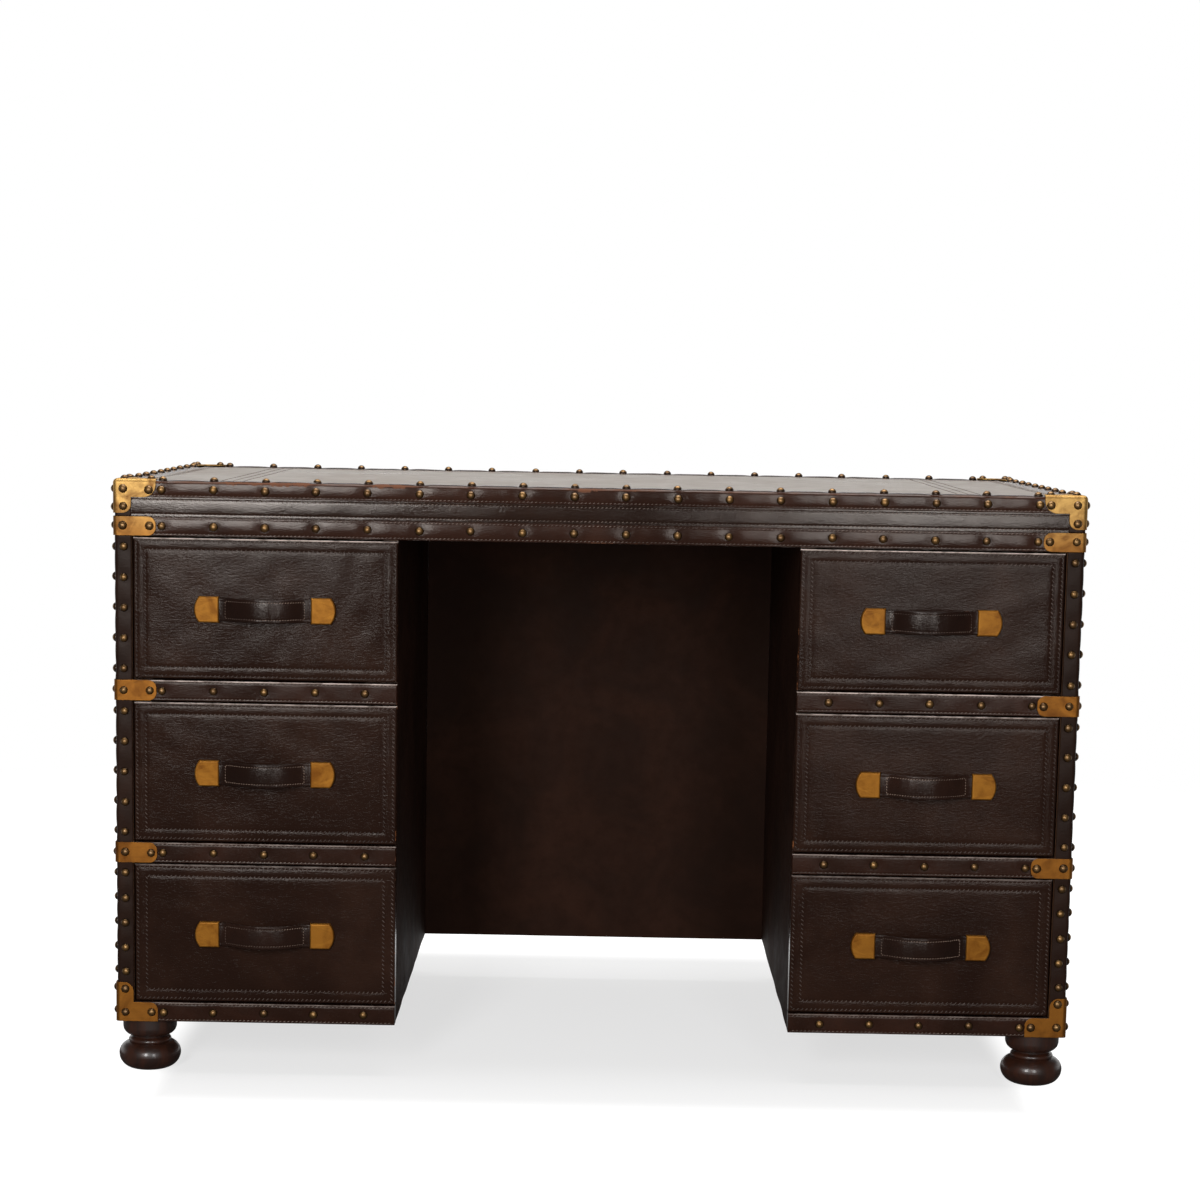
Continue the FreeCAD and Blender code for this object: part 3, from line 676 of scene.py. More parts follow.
class Finish(Nodes):
    """A material of the desk under construction."""

    def __init__(self, name):
        self.material = bpy.data.materials.new(name)
        self.material.use_nodes = True
        super().__init__(self.material.node_tree)
        self.surface = self.add("BsdfPrincipled")
        self.add("OutputMaterial", {0: self.surface.outputs[0]})
        self.spot = self.coords("Object")

    def shade(self, **sockets):
        for name, value in sockets.items():
            self.set(self.surface, name.replace("_", " "), value)

    def stretched(self, x, y, z):
        """Object coordinates scaled along each axis, for grain that runs one way."""
        return self.add("Mapping", {"Vector": self.spot, "Scale": (x, y, z)}).outputs[0]

    def noise(self, scale, detail=4.0, roughness=0.5, distortion=0.0, vector=None):
        inputs = {"Vector": vector or self.spot, "Scale": scale, "Detail": detail}
        inputs.update({"Roughness": roughness, "Distortion": distortion})
        return self.add("TexNoise", inputs).outputs["Fac"]

    def pebbles(self):
        """The fine cells of leather's grain."""
        cells = self.add("TexVoronoi", {"Vector": self.spot, "Scale": PEBBLES}, feature="DISTANCE_TO_EDGE")
        return self.span(cells.outputs["Distance"], 0.0, 0.45)

    def painted(self, name):
        """A weight painted on the mesh."""
        return self.add("Attribute", attribute_name=name).outputs["Fac"]

    def each(self):
        """A random value for each separate part of a mesh."""
        return self.add("NewGeometry").outputs["Random Per Island"]

    def bump(self, height, strength, distance, normal=None):
        inputs = {"Height": height, "Strength": strength, "Distance": distance}
        if normal:
            inputs["Normal"] = normal
        return self.add("Bump", inputs).outputs[0]


# Finishes

def leather(name, dark, light, worn, gloss, crease, grain, shine):
    """Dyed leather: long creases, pebbled grain, uneven dye and gloss, rubbed edges, and a painted highlight
    along upper edges.
    """
    look = Finish(name)
    cloud = look.noise(7.0, 5.0, 0.6, 0.6)
    mottle = look.noise(48.0, 5.0, 0.65)
    spread = look.noise(16.0, 3.0, 0.5)
    flecks = look.noise(70.0, 5.0, 0.7)
    creases = look.noise(125.0, 3.0, 0.5, 1.1, look.stretched(1.0, 1.0, CREASE_STRETCH))
    dye = look.mix(look.span(cloud, 0.32, 0.72), rgb(dark), rgb(light))
    dye = look.mix(look.span(mottle, 0.4, 0.75, 0.0, 0.5), dye, rgb(dark))
    patches = look.math("MULTIPLY", look.span(flecks, 0.4, 0.65), look.span(spread, 0.52, 0.62))
    wear = look.painted("wear")
    rubbed = look.span(look.math("MULTIPLY", wear, patches), 0.25, 0.6)
    folded = look.math("MULTIPLY", look.span(wear, 1.0, 1.6), look.span(spread, 0.4, 0.62, 0.1, 0.8))
    rubbed = look.math("MAXIMUM", rubbed, folded)
    # Painted highlight: a pale colour along upper edges that stands in for light caught on their rounding
    uneven = look.span(mottle, 0.38, 0.6, 0.35, 1.0)
    dye = look.mix(look.math("MULTIPLY", look.painted("polish"), uneven), dye, rgb(PAINTED_EDGE_HIGHLIGHT))
    look.shade(Base_Color=look.mix(rubbed, dye, rgb(worn)))
    glossy = look.span(look.math("ADD", mottle, cloud), 0.75, 1.25, *gloss)
    dull = look.span(rubbed, 0.0, 1.0, 0.0, 0.85)
    look.shade(Roughness=look.math("MAXIMUM", glossy, dull))
    pebbled = look.bump(look.pebbles(), grain, 0.0003)
    look.shade(Normal=look.bump(creases, crease, 0.0016, pebbled))
    look.shade(Specular_IOR_Level=shine, Specular_Tint=LEATHER_TINT)
    return look.material


def field_leather(name, dark, light):
    """Smooth waxed leather of the writing field."""
    look = Finish(name)
    cloud = look.noise(5.0, 5.0, 0.6, 0.8)
    mottle = look.noise(40.0, 5.0, 0.65)
    look.shade(Base_Color=look.mix(look.span(cloud, 0.32, 0.72), rgb(dark), rgb(light)))
    look.shade(Roughness=look.span(look.math("ADD", mottle, cloud), 0.7, 1.3, 0.27, 0.37))
    pebbled = look.bump(look.pebbles(), 0.08, 0.0003)
    look.shade(Normal=look.bump(mottle, 0.05, 0.001, pebbled))
    look.shade(Sheen_Weight=0.2, Sheen_Roughness=0.35, Sheen_Tint=FIELD_SHEEN)
    return look.material


def tooling(name, dark, light):
    """The dull, waxy bottom of a tooled line."""
    look = Finish(name)
    grime = look.span(look.noise(60.0, 4.0, 0.6), 0.35, 0.65)
    look.shade(Base_Color=look.mix(grime, rgb(dark), rgb(light)))
    look.shade(Roughness=0.9, Specular_IOR_Level=0.0)
    return look.material


def brass(name, pale, golden, brown, gloss, spread):
    """Aged brass: cloudy tarnish and gloss, paler at the top as a painted highlight, each piece a little
    different, faintly dented.
    """
    look = Finish(name)
    cloud = look.noise(34.0, 4.0, 0.55, 0.9)
    spots = look.noise(170.0, 5.0, 0.65)
    brushed = look.noise(90.0, 4.0, 0.6, vector=look.stretched(0.35, 0.35, 5.0))
    # Painted highlight: brass turns pale near the top of the desk, where more light falls
    level = look.span(look.axes(look.spot)["Z"], *LIT_BRASS_LEVELS)
    painted_lit_tone = look.mix(level, rgb(golden), rgb(pale))
    tarnish = look.math("ADD", look.span(cloud, 0.42, 0.74, 0, 0.8), look.span(spots, 0.55, 0.8, 0, 0.3))
    tarnish = look.math("ADD", tarnish, look.math("MULTIPLY", look.each(), spread))
    look.shade(Base_Color=look.mix(tarnish, painted_lit_tone, rgb(brown)), Metallic=1.0)
    look.shade(Roughness=look.span(look.math("ADD", cloud, spots), 0.7, 1.3, *gloss))
    dents = look.math("ADD", look.noise(40.0, 3.0), look.math("MULTIPLY", brushed, 0.2))
    edge = look.add("Bevel", {"Radius": BRASS_EDGE}, samples=4).outputs[0]
    look.shade(Normal=look.bump(dents, 0.25, 0.002, edge))
    look.shade(Coat_Weight=0.05, Coat_Roughness=0.3)
    return look.material


def nail_bronze(name):
    """Antiqued nails, each a little different, with painted shade darkening them towards the rim."""
    look = Finish(name)
    spots = look.noise(420.0, 4.0, 0.7)
    golden = look.mix(look.each(), rgb(NAIL_BRIGHT), rgb(NAIL_DIM))
    tarnish = look.math("MULTIPLY", look.span(spots, 0.45, 0.75), 0.5)
    old = look.mix(tarnish, golden, rgb(NAIL_TARNISH))
    # Painted shade: darker towards the rim, for the shadow round each dome
    rim = look.span(look.painted("rim"), 0.3, 1.0)
    look.shade(Base_Color=look.mix(rim, old, rgb(NAIL_RIM_SHADE)), Metallic=1.0)
    look.shade(Roughness=look.span(spots, 0.3, 0.7, 0.42, 0.56))
    look.shade(Coat_Weight=0.35, Coat_Roughness=0.26)
    look.shade(Normal=look.bump(look.noise(300.0, 3.0), 0.15, 0.0008))
    return look.material


def grain_scale(along):
    """Scale of wood's grain on each axis: long along one of them."""
    return [GRAIN_LONG if axis == along else GRAIN_SHORT for axis in "xyz"]


def wood(name, dark, light, along, cross, gloss, coat):
    """Boards with grain that runs along one axis, or across it in boards that face that way."""
    look = Finish(name)
    scale = grain_scale(along)
    fibre = look.noise(1.0, 8.0, 0.68, 1.2, look.stretched(*scale))
    if cross:
        other = look.noise(1.0, 8.0, 0.68, 1.2, look.stretched(*grain_scale(cross)))
        way = look.axes(look.add("NewGeometry").outputs["True Normal"])[along.upper()]
        faced = look.span(look.math("ABSOLUTE", way), 0.6, 0.8)
        fibre = look.add("Mix", {0: faced, 2: fibre, 3: other}).outputs[0]
    pores = look.noise(1.0, 4.0, 0.7, vector=look.stretched(*[PORES * each for each in scale]))
    tone = look.mix(look.span(fibre, 0.3, 0.7), rgb(dark), rgb(light))
    look.shade(Base_Color=look.mix(look.span(pores, 0.6, 0.8, 0, 0.5), tone, rgb(dark)))
    look.shade(Roughness=look.span(fibre, 0.2, 0.8, gloss + 0.1, gloss - 0.1))
    look.shade(Normal=look.bump(look.math("ADD", fibre, pores), 0.12, 0.0006))
    look.shade(Coat_Weight=coat, Coat_Roughness=0.12)
    return look.material


def thread(name, clean, grimy):
    """Waxed thread, darker where it is grimy."""
    look = Finish(name)
    grime = look.noise(9.0, 4.0, 0.6)
    tone = look.mix(look.span(grime, 0.38, 0.66), rgb(clean), rgb(grimy))
    look.shade(Base_Color=look.mix(look.math("MULTIPLY", look.each(), 0.4), tone, rgb(grimy)))
    look.shade(Roughness=look.span(grime, 0.3, 0.7, 0.5, 0.75))
    return look.material


def finishes():
    """Every material of the desk by its slot, and the variants of some."""
    found = {}
    for kind, table in ((leather, LEATHERS), (brass, BRASSES), (wood, WOODS), (thread, THREADS)):
        found.update({name: kind(name, *values) for name, values in table.items()})
    found["top_leather"] = field_leather("top_leather", *FIELD_DYE)
    found["tooling"] = tooling("tooling", *TOOLED)
    found["nail_bronze"] = nail_bronze("nail_bronze")
    return found


# Nails

def nail_seats(node):
    """Where each nail's head meets what it holds, with its outward direction."""
    outward = {"front_nails": -Y, "back_nails": Y, "top_nails": Z}
    seats = []
    for low, high in solids(node):
        middle = (low + high) / 2
        out = outward.get(node, X * np.sign(middle[0]))
        tip = np.where(out > 0, high, np.where(out < 0, low, middle))
        seats.append((tip - out * NAIL_DOME, out))
    return seats


def nail_form():
    """Points of one nail about +Z, ring by ring from its skirt to its tip, with faces and weights for the
    painted shade at its rim.
    """
    rings = [(NAIL_R * SKIRT_SHARE, -NAIL_SKIRT)]
    sphere = (NAIL_R ** 2 + NAIL_DOME ** 2) / (2 * NAIL_DOME)
    spread = math.asin(NAIL_R / sphere)
    for share in NAIL_RINGS:
        angle = spread * (1 - share)
        rings.append((sphere * math.sin(angle), NAIL_DOME - sphere * (1 - math.cos(angle))))
    points, rim = [], []
    for radius, level in rings:
        for side in range(NAIL_SIDES):
            turn = math.tau * side / NAIL_SIDES
            points.append((radius * math.cos(turn), radius * math.sin(turn), level))
            rim.append((radius / NAIL_R) ** 3)
    faces = ring_faces(len(rings), NAIL_SIDES)
    tip = len(points)
    last = tip - NAIL_SIDES
    points.append((0, 0, NAIL_DOME))
    rim.append(0.0)
    faces += [(last + side, last + (side + 1) % NAIL_SIDES, tip) for side in range(NAIL_SIDES)]
    faces.append(tuple(reversed(range(NAIL_SIDES))))
    return np.array(points), faces, np.array(rim)


def nail_group(node):
    """All nails of a node, each set by hand: a little off its mark and a little tilted."""
    form, faces, rim = nail_form()
    draw = random.Random(node)
    nails = []
    for seat, out in nail_seats(node):
        turn = Vector(out).to_track_quat("Z", "Y").to_matrix()
        lean = Matrix.Rotation(draw.gauss(0, NAIL_LEAN), 3, "X")
        lean = lean @ Matrix.Rotation(draw.gauss(0, NAIL_LEAN), 3, "Y")
        size = 1 + draw.uniform(-NAIL_SPREAD, NAIL_SPREAD)
        wander = Vector([draw.uniform(-NAIL_WANDER, NAIL_WANDER) for _ in range(2)] + [0])
        turned = np.array(turn @ lean) * size
        nails.append((form @ turned.T + seat + np.array(turn @ wander), faces))
    piece = made(f"{node}_set", *gathered(nails), rim=np.tile(rim, len(nails)))
    fitted(piece, "carcase", "nail_bronze", node)


def nails_on(start, along, up, length, width, seats):
    """Nails that stand on a sheet, as (along, across) on it."""
    out = np.cross(along, up)
    found = []
    for seat, direction in seats:
        u, v = np.dot(seat - start, along), np.dot(seat - start, up)
        if np.dot(direction, out) > 0 and 0 < u < length and 0 < v < width:
            found.append((u, v))
    return found


# Strips

def wrapped(start, first, second, length, sides, crowns, seed, seats):
    """A nailed strip round an edge, with two sides: its place, width, fold and relief."""
    near, far = sides
    along = np.cross(second, first)
    leg = near - CORNER_ROUND
    width = leg + CORNER_ARC + far - CORNER_ROUND
    fold = leg + CORNER_ARC / 2
    points = nails_on(start, along, first, length, near, seats)
    past = nails_on(start + first * near, along, second, length, far, seats)
    points += [(u, v + leg + CORNER_ARC - CORNER_ROUND) for u, v in past]
    relief = nailed(length, width, BAND_ROUND, two_crowned(fold, width, *crowns), seed, points)
    return bent(start, first, second, leg), width, fold, relief


def sewn_strip(name, place, size, relief, steps, rows, end, depth=BAND, **more):
    """A strip in its place, and the stitches along its rows."""
    length, width = size
    us, vs = stops(length, steps[0]), stops(width, steps[1], rows)
    runs = [((end, row), (length - end, row)) for row in rows]
    return cover(name, place, us, vs, relief, depth, **more), stitched(place, relief, runs)


def flat_strip(name, sheet, seed, strip, worn, seats, **more):
    """A nailed strip on a flat face, and the stitches along both its edges."""
    start, along, length, width = sheet
    row, edge, crown, steps, end = strip
    rows = [row, width - row]
    points = nails_on(start, along, Z, length, width, seats)
    relief = nailed(length, width, edge, crowned(0, width, crown), seed, points)
    relief = stacked(relief, pressed(rows))
    place, wear = flat(start, along, Z), edge_wear(length, width, worn)
    return sewn_strip(name, place, (length, width), relief, steps, rows, end, wear=wear, **more)


# Leather of the box top

def edge_binding(face, seats, threads):
    """The strip that wraps the top's edge, sewn along its lower side."""
    end = END_INSET if face in ("front", "back") else BORDER + FIELD_CLEAR
    start, _, inward, length = body_face(face, BODY_LOW.z, end)
    sides, crowns = (TOP_BAND, BORDER), (BAND_CROWN, TOP_CROWN)
    seed, rows = f"binding {face}", [BAND_ROW]
    place, width, fold, relief = wrapped(start, Z, inward, length, sides, crowns, seed, seats)
    relief = stacked(relief, pressed(rows))

    def wear(u, v):
        return FOLD_WEAR * bell(v - fold, FOLD_REACH) + BINDING_WEAR * np.exp(-v / BINDING_REACH)

    name, size = f"{face}_edge_binding", (length, width)
    piece, lot = sewn_strip(name, place, size, relief, BAND_STEPS, rows, CAPPED_END, wear=wear)
    fitted(piece, "carcase", "band_leather", "top_edge_binding")
    threads.append(lot)


def lower_band(face, seats, threads):
    """The nailed strip along the bottom of the frieze."""
    low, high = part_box("frieze_lower_band")
    start, along, _, length = body_face(face, low.z, END_INSET)
    sheet = start, along, length, high.z - low.z
    piece, lot = flat_strip(f"{face}_lower_band", sheet, f"lower {face}", LOWER_STRIP, LOWER_WORN, seats)
    fitted(piece, "carcase", "band_leather", "frieze_lower_band")
    threads.append(lot)


def frieze_panel(face, threads):
    """The set-back leather between the two strips, sewn close to both."""
    low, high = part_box("frieze_leather")
    start, along, inward, length = body_face(face, low.z, END_INSET)
    place = flat(start + inward * BAND, along, Z)
    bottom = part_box("frieze_lower_band")[1].z - low.z
    top = BODY_LOW.z - low.z
    rows = [bottom + FRIEZE_ROW, top - FRIEZE_ROW]
    swell = crowned(bottom, top, FRIEZE_CROWN)

    def lifted(u, v):
        return FRIEZE_LIFT + np.maximum(swell(u, v), -FRIEZE_CROWN)

    relief = stacked(lifted, rippled(f"frieze {face}", FRIEZE_RIPPLE), pressed(rows))
    name, size = f"{face}_frieze_leather", (length, high.z - low.z)
    piece, lot = sewn_strip(name, place, size, relief, FRIEZE_STEPS, rows, CAPPED_END, SKIN)
    fitted(piece, "carcase", "body_leather", "frieze_leather")
    threads.append(lot)


def writing_field():
    """The top's leather with its tooled lines."""
    edge = BORDER + FIELD_CLEAR
    start = np.array([edge - SIDE, FRONT + edge, FIELD_LEVEL])
    length, width = -2 * start[0], BACK - FRONT - 2 * edge
    frames = [line - BORDER for line in TOOLED_FRAME]
    ends = mirrored([line - BORDER for line in TOOLED_ENDS], length)

    def tooled_ends(u, v):
        inside = (v > frames[-1]) & (v < width - frames[-1])
        return sum(-TOOL_DEPTH * inside * bell(u - end, TOOL_WIDTH) for end in ends)

    tooled_frame = pressed_rings(length, width, frames, TOOL_DEPTH, TOOL_WIDTH)
    relief = stacked(
        softened(length, width, PANEL_ROUND), rippled("field", FIELD_RIPPLE), tooled_ends, tooled_frame,
    )

    def lines(u, v):
        return -(tooled_ends(u, v) + tooled_frame(u, v)) / TOOL_DEPTH

    us = stops(length, PANEL_STEP, ends + mirrored(frames, length))
    vs = stops(width, PANEL_STEP, mirrored(frames, width))
    depth = FIELD_LEVEL - TOP + BAND + SKIN
    piece = cover("writing_field", flat(start, X, Y), us, vs, relief, depth)
    fitted(piece, "carcase", "top_leather", "top_leather")
    piece.data.materials.append(MATERIALS["tooling"])
    spots = np.zeros(len(piece.data.polygons) * 3)
    piece.data.polygons.foreach_get("center", spots)
    u, v, w = (spots.reshape(-1, 3) - start).T
    on_line = (lines(u, v) > TOOLED_SHARE) & (w > -SKIN)
    piece.data.polygons.foreach_set("material_index", on_line.astype(int))


# Leather of the pedestals

def stile(index, low, high, seats):
    """The nailed strip that wraps an upright corner."""
    right, rear = low[0] + high[0] > 0, (low[1] + high[1]) / 2 > MIDDLE
    first, second = (X if right else -X), (-Y if rear else Y)
    end = low if np.cross(second, first)[2] > 0 else high
    start = first * (SIDE - STILE) + Y * (BACK if rear else FRONT) + Z * end[2]
    length, crowns = high[2] - low[2], (STILE_CROWN, STILE_CROWN)
    seed = f"stile {index}"
    place, width, fold, relief = wrapped(start, first, second, length, (STILE, STILE), crowns, seed, seats)

    def wear(u, v):
        return STILE_WEAR * bell(v - fold, STILE_REACH)

    name = f"{'rear' if rear else 'front'}_{'right' if right else 'left'}_stile_{index}"
    us, vs = stops(length, STILE_STEPS[0]), stops(width, STILE_STEPS[1])
    piece = cover(name, place, us, vs, relief, BAND, wear=wear)
    fitted(piece, "carcase", "band_leather", "corner_bindings", "stile_leather")


def rail_cover(index, low, high, seats, threads):
    """The leather round a drawer rail."""
    sheet = box_face(low, high, "front")
    # The rail's upper edge gets a painted highlight
    more = {"depth": high[1] - low[1], "skin": SKIN, "polish": top_polish(sheet[-1], high[2])}
    worn = knee_worn(low, RAIL_WORN)
    name, seed = f"rail_leather_{index}", f"rail {index}"
    piece, lot = flat_strip(name, sheet, seed, RAIL_STRIP, worn, seats, **more)
    fitted(piece, "carcase", "band_leather", "drawer_rail_leather", "rail_leather")
    threads.append(lot)


def carcase_band(index, low, high, seats, threads):
    """A nailed strip along a side or the back."""
    face = facing(low, high)
    name, sheet = f"{face}_band_{index}", box_face(low, high, face)
    piece, lot = flat_strip(name, sheet, f"band {index}", CARCASE_STRIP, BAND_WORN, seats)
    fitted(piece, "carcase", "band_leather", "carcase_bands")
    threads.append(lot)


def panel_cover(name, low, high, face, node, slot):
    """A large sheet glued flat on a board."""
    start, along, length, width = box_face(low, high, face)
    relief = rippled(name, PANEL_RIPPLE)
    if slot == "body_leather":
        relief = stacked(softened(length, width, PANEL_ROUND), relief)
    us, vs = stops(length, PANEL_STEP), stops(width, PANEL_STEP)
    piece = cover(name, flat(start, along, Z), us, vs, relief, SKIN)
    fitted(piece, "carcase", slot, node, "panel_leather" if slot == "body_leather" else None)


def panel_covers():
    """The leather on the sides, on the back and in the kneehole."""
    for low, high in solids("side_leather"):
        face = facing(low, high)
        panel_cover(f"{face}_side_leather", low, high, face, "side_leather", "body_leather")
    for index, (low, high) in enumerate(solids("back_leather")):
        panel_cover(f"back_leather_{index}", low, high, "back", "back_leather", "body_leather")
    panel_low, panel_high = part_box("modesty_panel")
    middle = (panel_low.y + panel_high.y) / 2
    for low, high in solids("kneehole_leather"):
        if high[0] - low[0] < high[1] - low[1]:
            face = "right" if low[0] < 0 else "left"
            name = f"kneehole_leather_{'left' if low[0] < 0 else 'right'}"
        else:
            face = "front" if high[1] < middle else "back"
            name = f"modesty_leather_{face}"
        panel_cover(name, low, high, face, "kneehole_leather", "kneehole_leather")


# Drawers

def drawer_cover(drawer):
    """A drawer front's leather: swelling face, rounded edges and two sewn rows."""
    low, high = [np.array(corner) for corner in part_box(f"{drawer}_front_leather")]
    start, along, length, width = box_face(low, high, "front")
    place = flat(start, along, Z)
    relief = stacked(
        softened(length, width, DRAWER_ROUND), pillowed(length, width, DRAWER_CROWN),
        rippled(drawer, DRAWER_RIPPLE), pressed_rings(length, width, DRAWER_ROWS, SEAM_PRESS, SEAM_REACH),
    )
    relief = above_board(relief, length, width)
    us, vs = [stops(side, DRAWER_STEP, mirrored(DRAWER_ROWS, side)) for side in (length, width)]
    wear = edge_wear(length, width, knee_worn(low, DRAWER_WORN), DRAWER_REACH)
    # The drawer's upper edge gets a painted highlight, weaker near the floor
    polish = top_polish(width, high[2])
    piece = cover(f"{drawer}_cover", place, us, vs, relief, high[1] - low[1], DRAWER_SKIN, wear, polish)
    fitted(piece, drawer, "drawer_leather", f"{drawer}_front_leather")
    runs = [run for row in DRAWER_ROWS for run in ring_runs(row, row, length - row, width - row)]
    fitted(sewn(f"{drawer}_thread", [stitched(place, relief, runs, BOLD_STITCH)]), drawer, "drawer_thread")


def strap_place(centre, half, reach):
    """Place of a strap's middle surface, with its half length and how much of that is free of the caps."""
    rise = reach - STRAP
    turn = 2 * math.atan(rise / half)
    whole = half / math.sin(turn)
    heel = HEEL_SHARE * whole
    bow = whole - heel
    bow_end = bow * turn
    heel_end = bow_end + heel * turn
    base = FRONT - STRAP / 2

    def place(u, v, w):
        near = np.abs(u)
        sign = np.sign(u) + (u == 0)
        in_bow, in_heel = near <= bow_end, near <= heel_end
        angle = np.where(in_bow, near / bow, np.clip((heel_end - near) / heel, 0, turn))
        x_bow = (bow + w) * np.sin(angle)
        y_bow = base - rise + bow - (bow + w) * np.cos(angle)
        x_heel = half - (heel - w) * np.sin(angle)
        y_heel = base - heel + (heel - w) * np.cos(angle)
        past = np.maximum(near - heel_end, 0)
        x = np.where(in_bow, x_bow, np.where(in_heel, x_heel, half + past))
        y = np.where(in_bow, y_bow, np.where(in_heel, y_heel, base - w))
        return np.stack([centre[0] + sign * x, y, centre[2] + v], axis=1)

    return place, STRAP_TUCK + heel_end, heel_end


def strap_section(width):
    """Round a strap's section: (across, out) points, close at its rounded edges and its sewn rows."""
    half, thick = width / 2, STRAP / 2
    quarter = []
    for turn in np.linspace(0, math.pi / 2, STRAP_ROUND_POINTS):
        across, out = STRAP_EDGE * (1 - math.cos(turn)), STRAP_EDGE * (1 - math.sin(turn))
        quarter.append((half - across, thick - out))
    quarter += [(half - STRAP_ROW + off, thick) for off in STRAP_ROW_STEPS]
    quarter += [(half / 2, thick), (0.0, thick)]
    top = quarter + [(-a, b) for a, b in quarter[-2::-1]]
    return np.array(top + [(a, -b) for a, b in top[::-1]])


def strap_relief(width, drawer):
    """The strap's swell across its width, drawn in along its sewn rows, and a little creased."""
    crease = rippled(f"strap {drawer}", STRAP_RIPPLE)

    def height(u, v):
        swell = STRAP_CROWN * (1 - (2 * v / width) ** 2)
        row = bell(np.abs(v) - width / 2 + STRAP_ROW, PRESS_REACH)
        return swell - THREAD_PRESS * row + crease(u, v)

    return height


def pull_strap(drawer):
    """A drawer's bowed strap with its sewn border."""
    low, high = [np.array(corner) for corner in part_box(f"{drawer}_pull_strap")]
    width = high[2] - low[2]
    half = (high[0] - low[0]) / 2 - STRAP_TUCK
    place, reach, free = strap_place((low + high) / 2, half, FRONT - low[1])
    relief = strap_relief(width, drawer)
    across, out = strap_section(width).T
    worn = STRAP_WEAR * np.exp(-(width / 2 - np.abs(across)) / STRAP_REACH)
    points, wear = [], []
    for station in np.linspace(-reach, reach, STRAP_STATIONS):
        u = np.full(len(across), station)
        swell = np.where(out > 0, relief(u, across) * out / (STRAP / 2), 0)
        points.append(place(u, across, out + swell))
        wear.append(worn * math.cos(station / reach))
    faces = tube_faces(STRAP_STATIONS, len(across))
    piece = made(f"{drawer}_strap", np.concatenate(points), faces, wear=np.concatenate(wear))
    fitted(piece, drawer, "strap_leather", f"{drawer}_pull_strap")
    end, row = free - STRAP_END_ROW, width / 2 - STRAP_ROW
    face = stacked(relief, lambda u, v: STRAP / 2)
    lot = stitched(place, face, ring_runs(-end, -row, end, row), STRAP_STITCH)
    fitted(sewn(f"{drawer}_strap_thread", [lot]), drawer, "strap_thread")


# Stage

def studio_floor():
    """A round pale floor that keeps the desk's shadow, glows less under the desk as a painted shadow, and
    runs out to white.
    """
    mesh = bpy.data.meshes.new("floor")
    turns = [math.tau * k / FLOOR_SIDES for k in range(FLOOR_SIDES)]
    rim = [(FLOOR_R * math.cos(turn), FLOOR_R * math.sin(turn), 0) for turn in turns]
    mesh.from_pydata(rim, [], [range(FLOOR_SIDES)])
    floor = placed("floor", mesh)
    material = bpy.data.materials.new("floor")
    material.use_nodes = True
    nodes = Nodes(material.node_tree)
    spot = nodes.coords("Object")
    # Painted shadow: the floor glows less inside the desk's footprint and rises to white outside it; the real
    # shadow darkens it further
    out = nodes.vector("ABSOLUTE", nodes.vector("SUBTRACT", spot, (0, MIDDLE, 0)))
    past = nodes.axes(nodes.vector("SUBTRACT", out, (SIDE, (BACK - FRONT) / 2, 0)))
    aside, ahead = nodes.span(past["X"], *GLOW_SIDES), nodes.span(past["Y"], *GLOW_FRONT)
    far = nodes.math("MAXIMUM", aside, ahead)
    glow_with_painted_shadow = nodes.shader("Emission", {"Strength": nodes.span(far, 0.0, 1.0, FOOTPRINT_SHADOW_GLOW, 1.0)})
    lit = nodes.shader("BsdfDiffuse", {"Color": FLOOR_SHADE})
    plain = nodes.shader("BsdfDiffuse", {"Color": nodes.room(FLOOR_BOUNCE, FLOOR_DIM)})
    shown = nodes.shader("AddShader", {0: glow_with_painted_shadow, 1: lit})
    seen = nodes.rays(nodes.span(nodes.axes(spot)["Y"], *MIRROR_FLOOR))
    chosen = nodes.shader("MixShader", {0: seen, 1: plain, 2: shown})
    nodes.add("OutputMaterial", {0: chosen})
    mesh.materials.append(material)


def studio_world():
    """White behind the desk, and the dim room of a studio in front of it and for its fill light."""
    world = bpy.data.worlds.new("studio")
    bpy.context.scene.world = world
    world.use_nodes = True
    nodes = Nodes(world.node_tree)
    way = nodes.axes(nodes.coords("Generated"))
    behind = nodes.span(way["Y"], *MIRROR_BACK)
    low = nodes.span(way["Z"], *MIRROR_RISE, 1.0, 0.0)
    seen = nodes.rays(nodes.math("MULTIPLY", behind, low))
    tone = nodes.mix(seen, nodes.room(FILL, ROOM_DIM), WHITE)
    nodes.add("OutputWorld", {0: nodes.shader("Background", {"Color": tone})})


def softbox(name, place, aim, size, power):
    """A softbox turned to a point."""
    light = bpy.data.lights.new(name, "AREA")
    light.energy = power
    light.shape = "RECTANGLE"
    light.size, light.size_y = size
    lamp = placed(name, light)
    lamp.location = place
    lamp.rotation_euler = (Vector(aim) - Vector(place)).to_track_quat("-Z", "Y").to_euler()


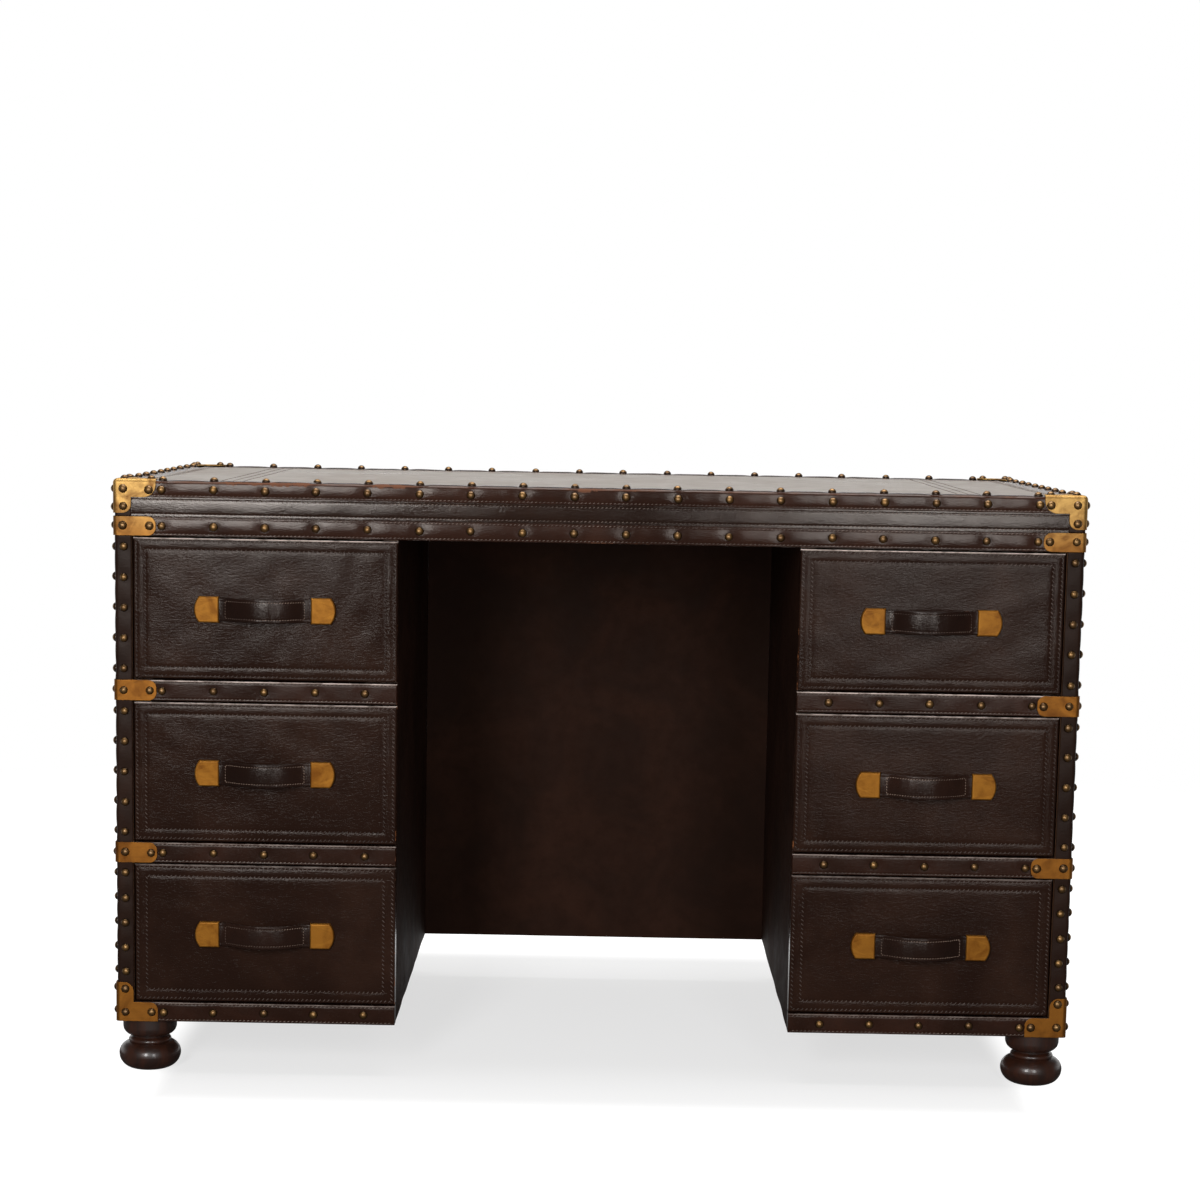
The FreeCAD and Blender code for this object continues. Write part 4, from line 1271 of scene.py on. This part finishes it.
def camera():
    """The photograph's view."""
    data = bpy.data.cameras.new("camera")
    data.sensor_width = SENSOR
    data.lens = FOCAL_PIXELS / FRAME_PIXELS * SENSOR
    data.shift_y = (CENTRE_PIXEL_Y - FRAME_PIXELS / 2) / FRAME_PIXELS
    view = placed("camera", data)
    turn = Matrix.Rotation(YAW, 4, "Z") @ Matrix.Rotation(math.pi / 2 + PITCH, 4, "X")
    turn = turn @ Matrix.Rotation(ROLL, 4, "Z")
    view.matrix_world = Matrix.Translation(EYE) @ turn
    bpy.context.scene.camera = view


def studio():
    """Floor, light and camera."""
    bpy.context.scene.view_settings.view_transform = "Standard"
    studio_floor()
    studio_world()
    for name, values in SOFTBOXES.items():
        softbox(name, *values)
    camera()


# The whole desk

def carried_over():
    """Finishes for the CAD nodes that are shown as they are."""
    slots = {
        "brass": ["top_corner_caps", "bottom_corner_caps", "corner_straps"],
        "pull_brass": [f"{each}_pull_caps" for each in DRAWERS],
        "foot_wood": ["feet"],
        "drawer_wood": [f"{each}_{part}" for each in DRAWERS for part in ("box", "front")],
    }
    named = {node: slot for slot, nodes in slots.items() for node in nodes}
    for name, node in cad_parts.items():
        finish = MATERIALS[named.get(name, "carcase_wood")]
        if not node.hide_render:
            node.data.materials.clear()
            node.data.materials.append(finish)


def dress():
    """Every dressed piece of the desk."""
    nodes = ("front_nails", "back_nails", "side_nails", "top_nails")
    seats = [seat for node in nodes for seat in nail_seats(node)]
    for node in nodes:
        nail_group(node)
    threads = {name: [] for name in ("binding", "lower_band", "frieze", "rail", "carcase_band")}
    for face in FACES:
        edge_binding(face, seats, threads["binding"])
        lower_band(face, seats, threads["lower_band"])
        frieze_panel(face, threads["frieze"])
    writing_field()
    for index, (low, high) in enumerate(solids("corner_bindings")):
        stile(index, low, high, seats)
    for index, (low, high) in enumerate(solids("drawer_rail_leather")):
        rail_cover(index, low, high, seats, threads["rail"])
    for index, (low, high) in enumerate(solids("carcase_bands")):
        carcase_band(index, low, high, seats, threads["carcase_band"])
    panel_covers()
    for name, lots in threads.items():
        fitted(sewn(f"{name}_thread", lots), "carcase", "thread")
    for drawer in DRAWERS:
        drawer_cover(drawer)
        pull_strap(drawer)


MATERIALS = finishes()
dress()
carried_over()
studio()
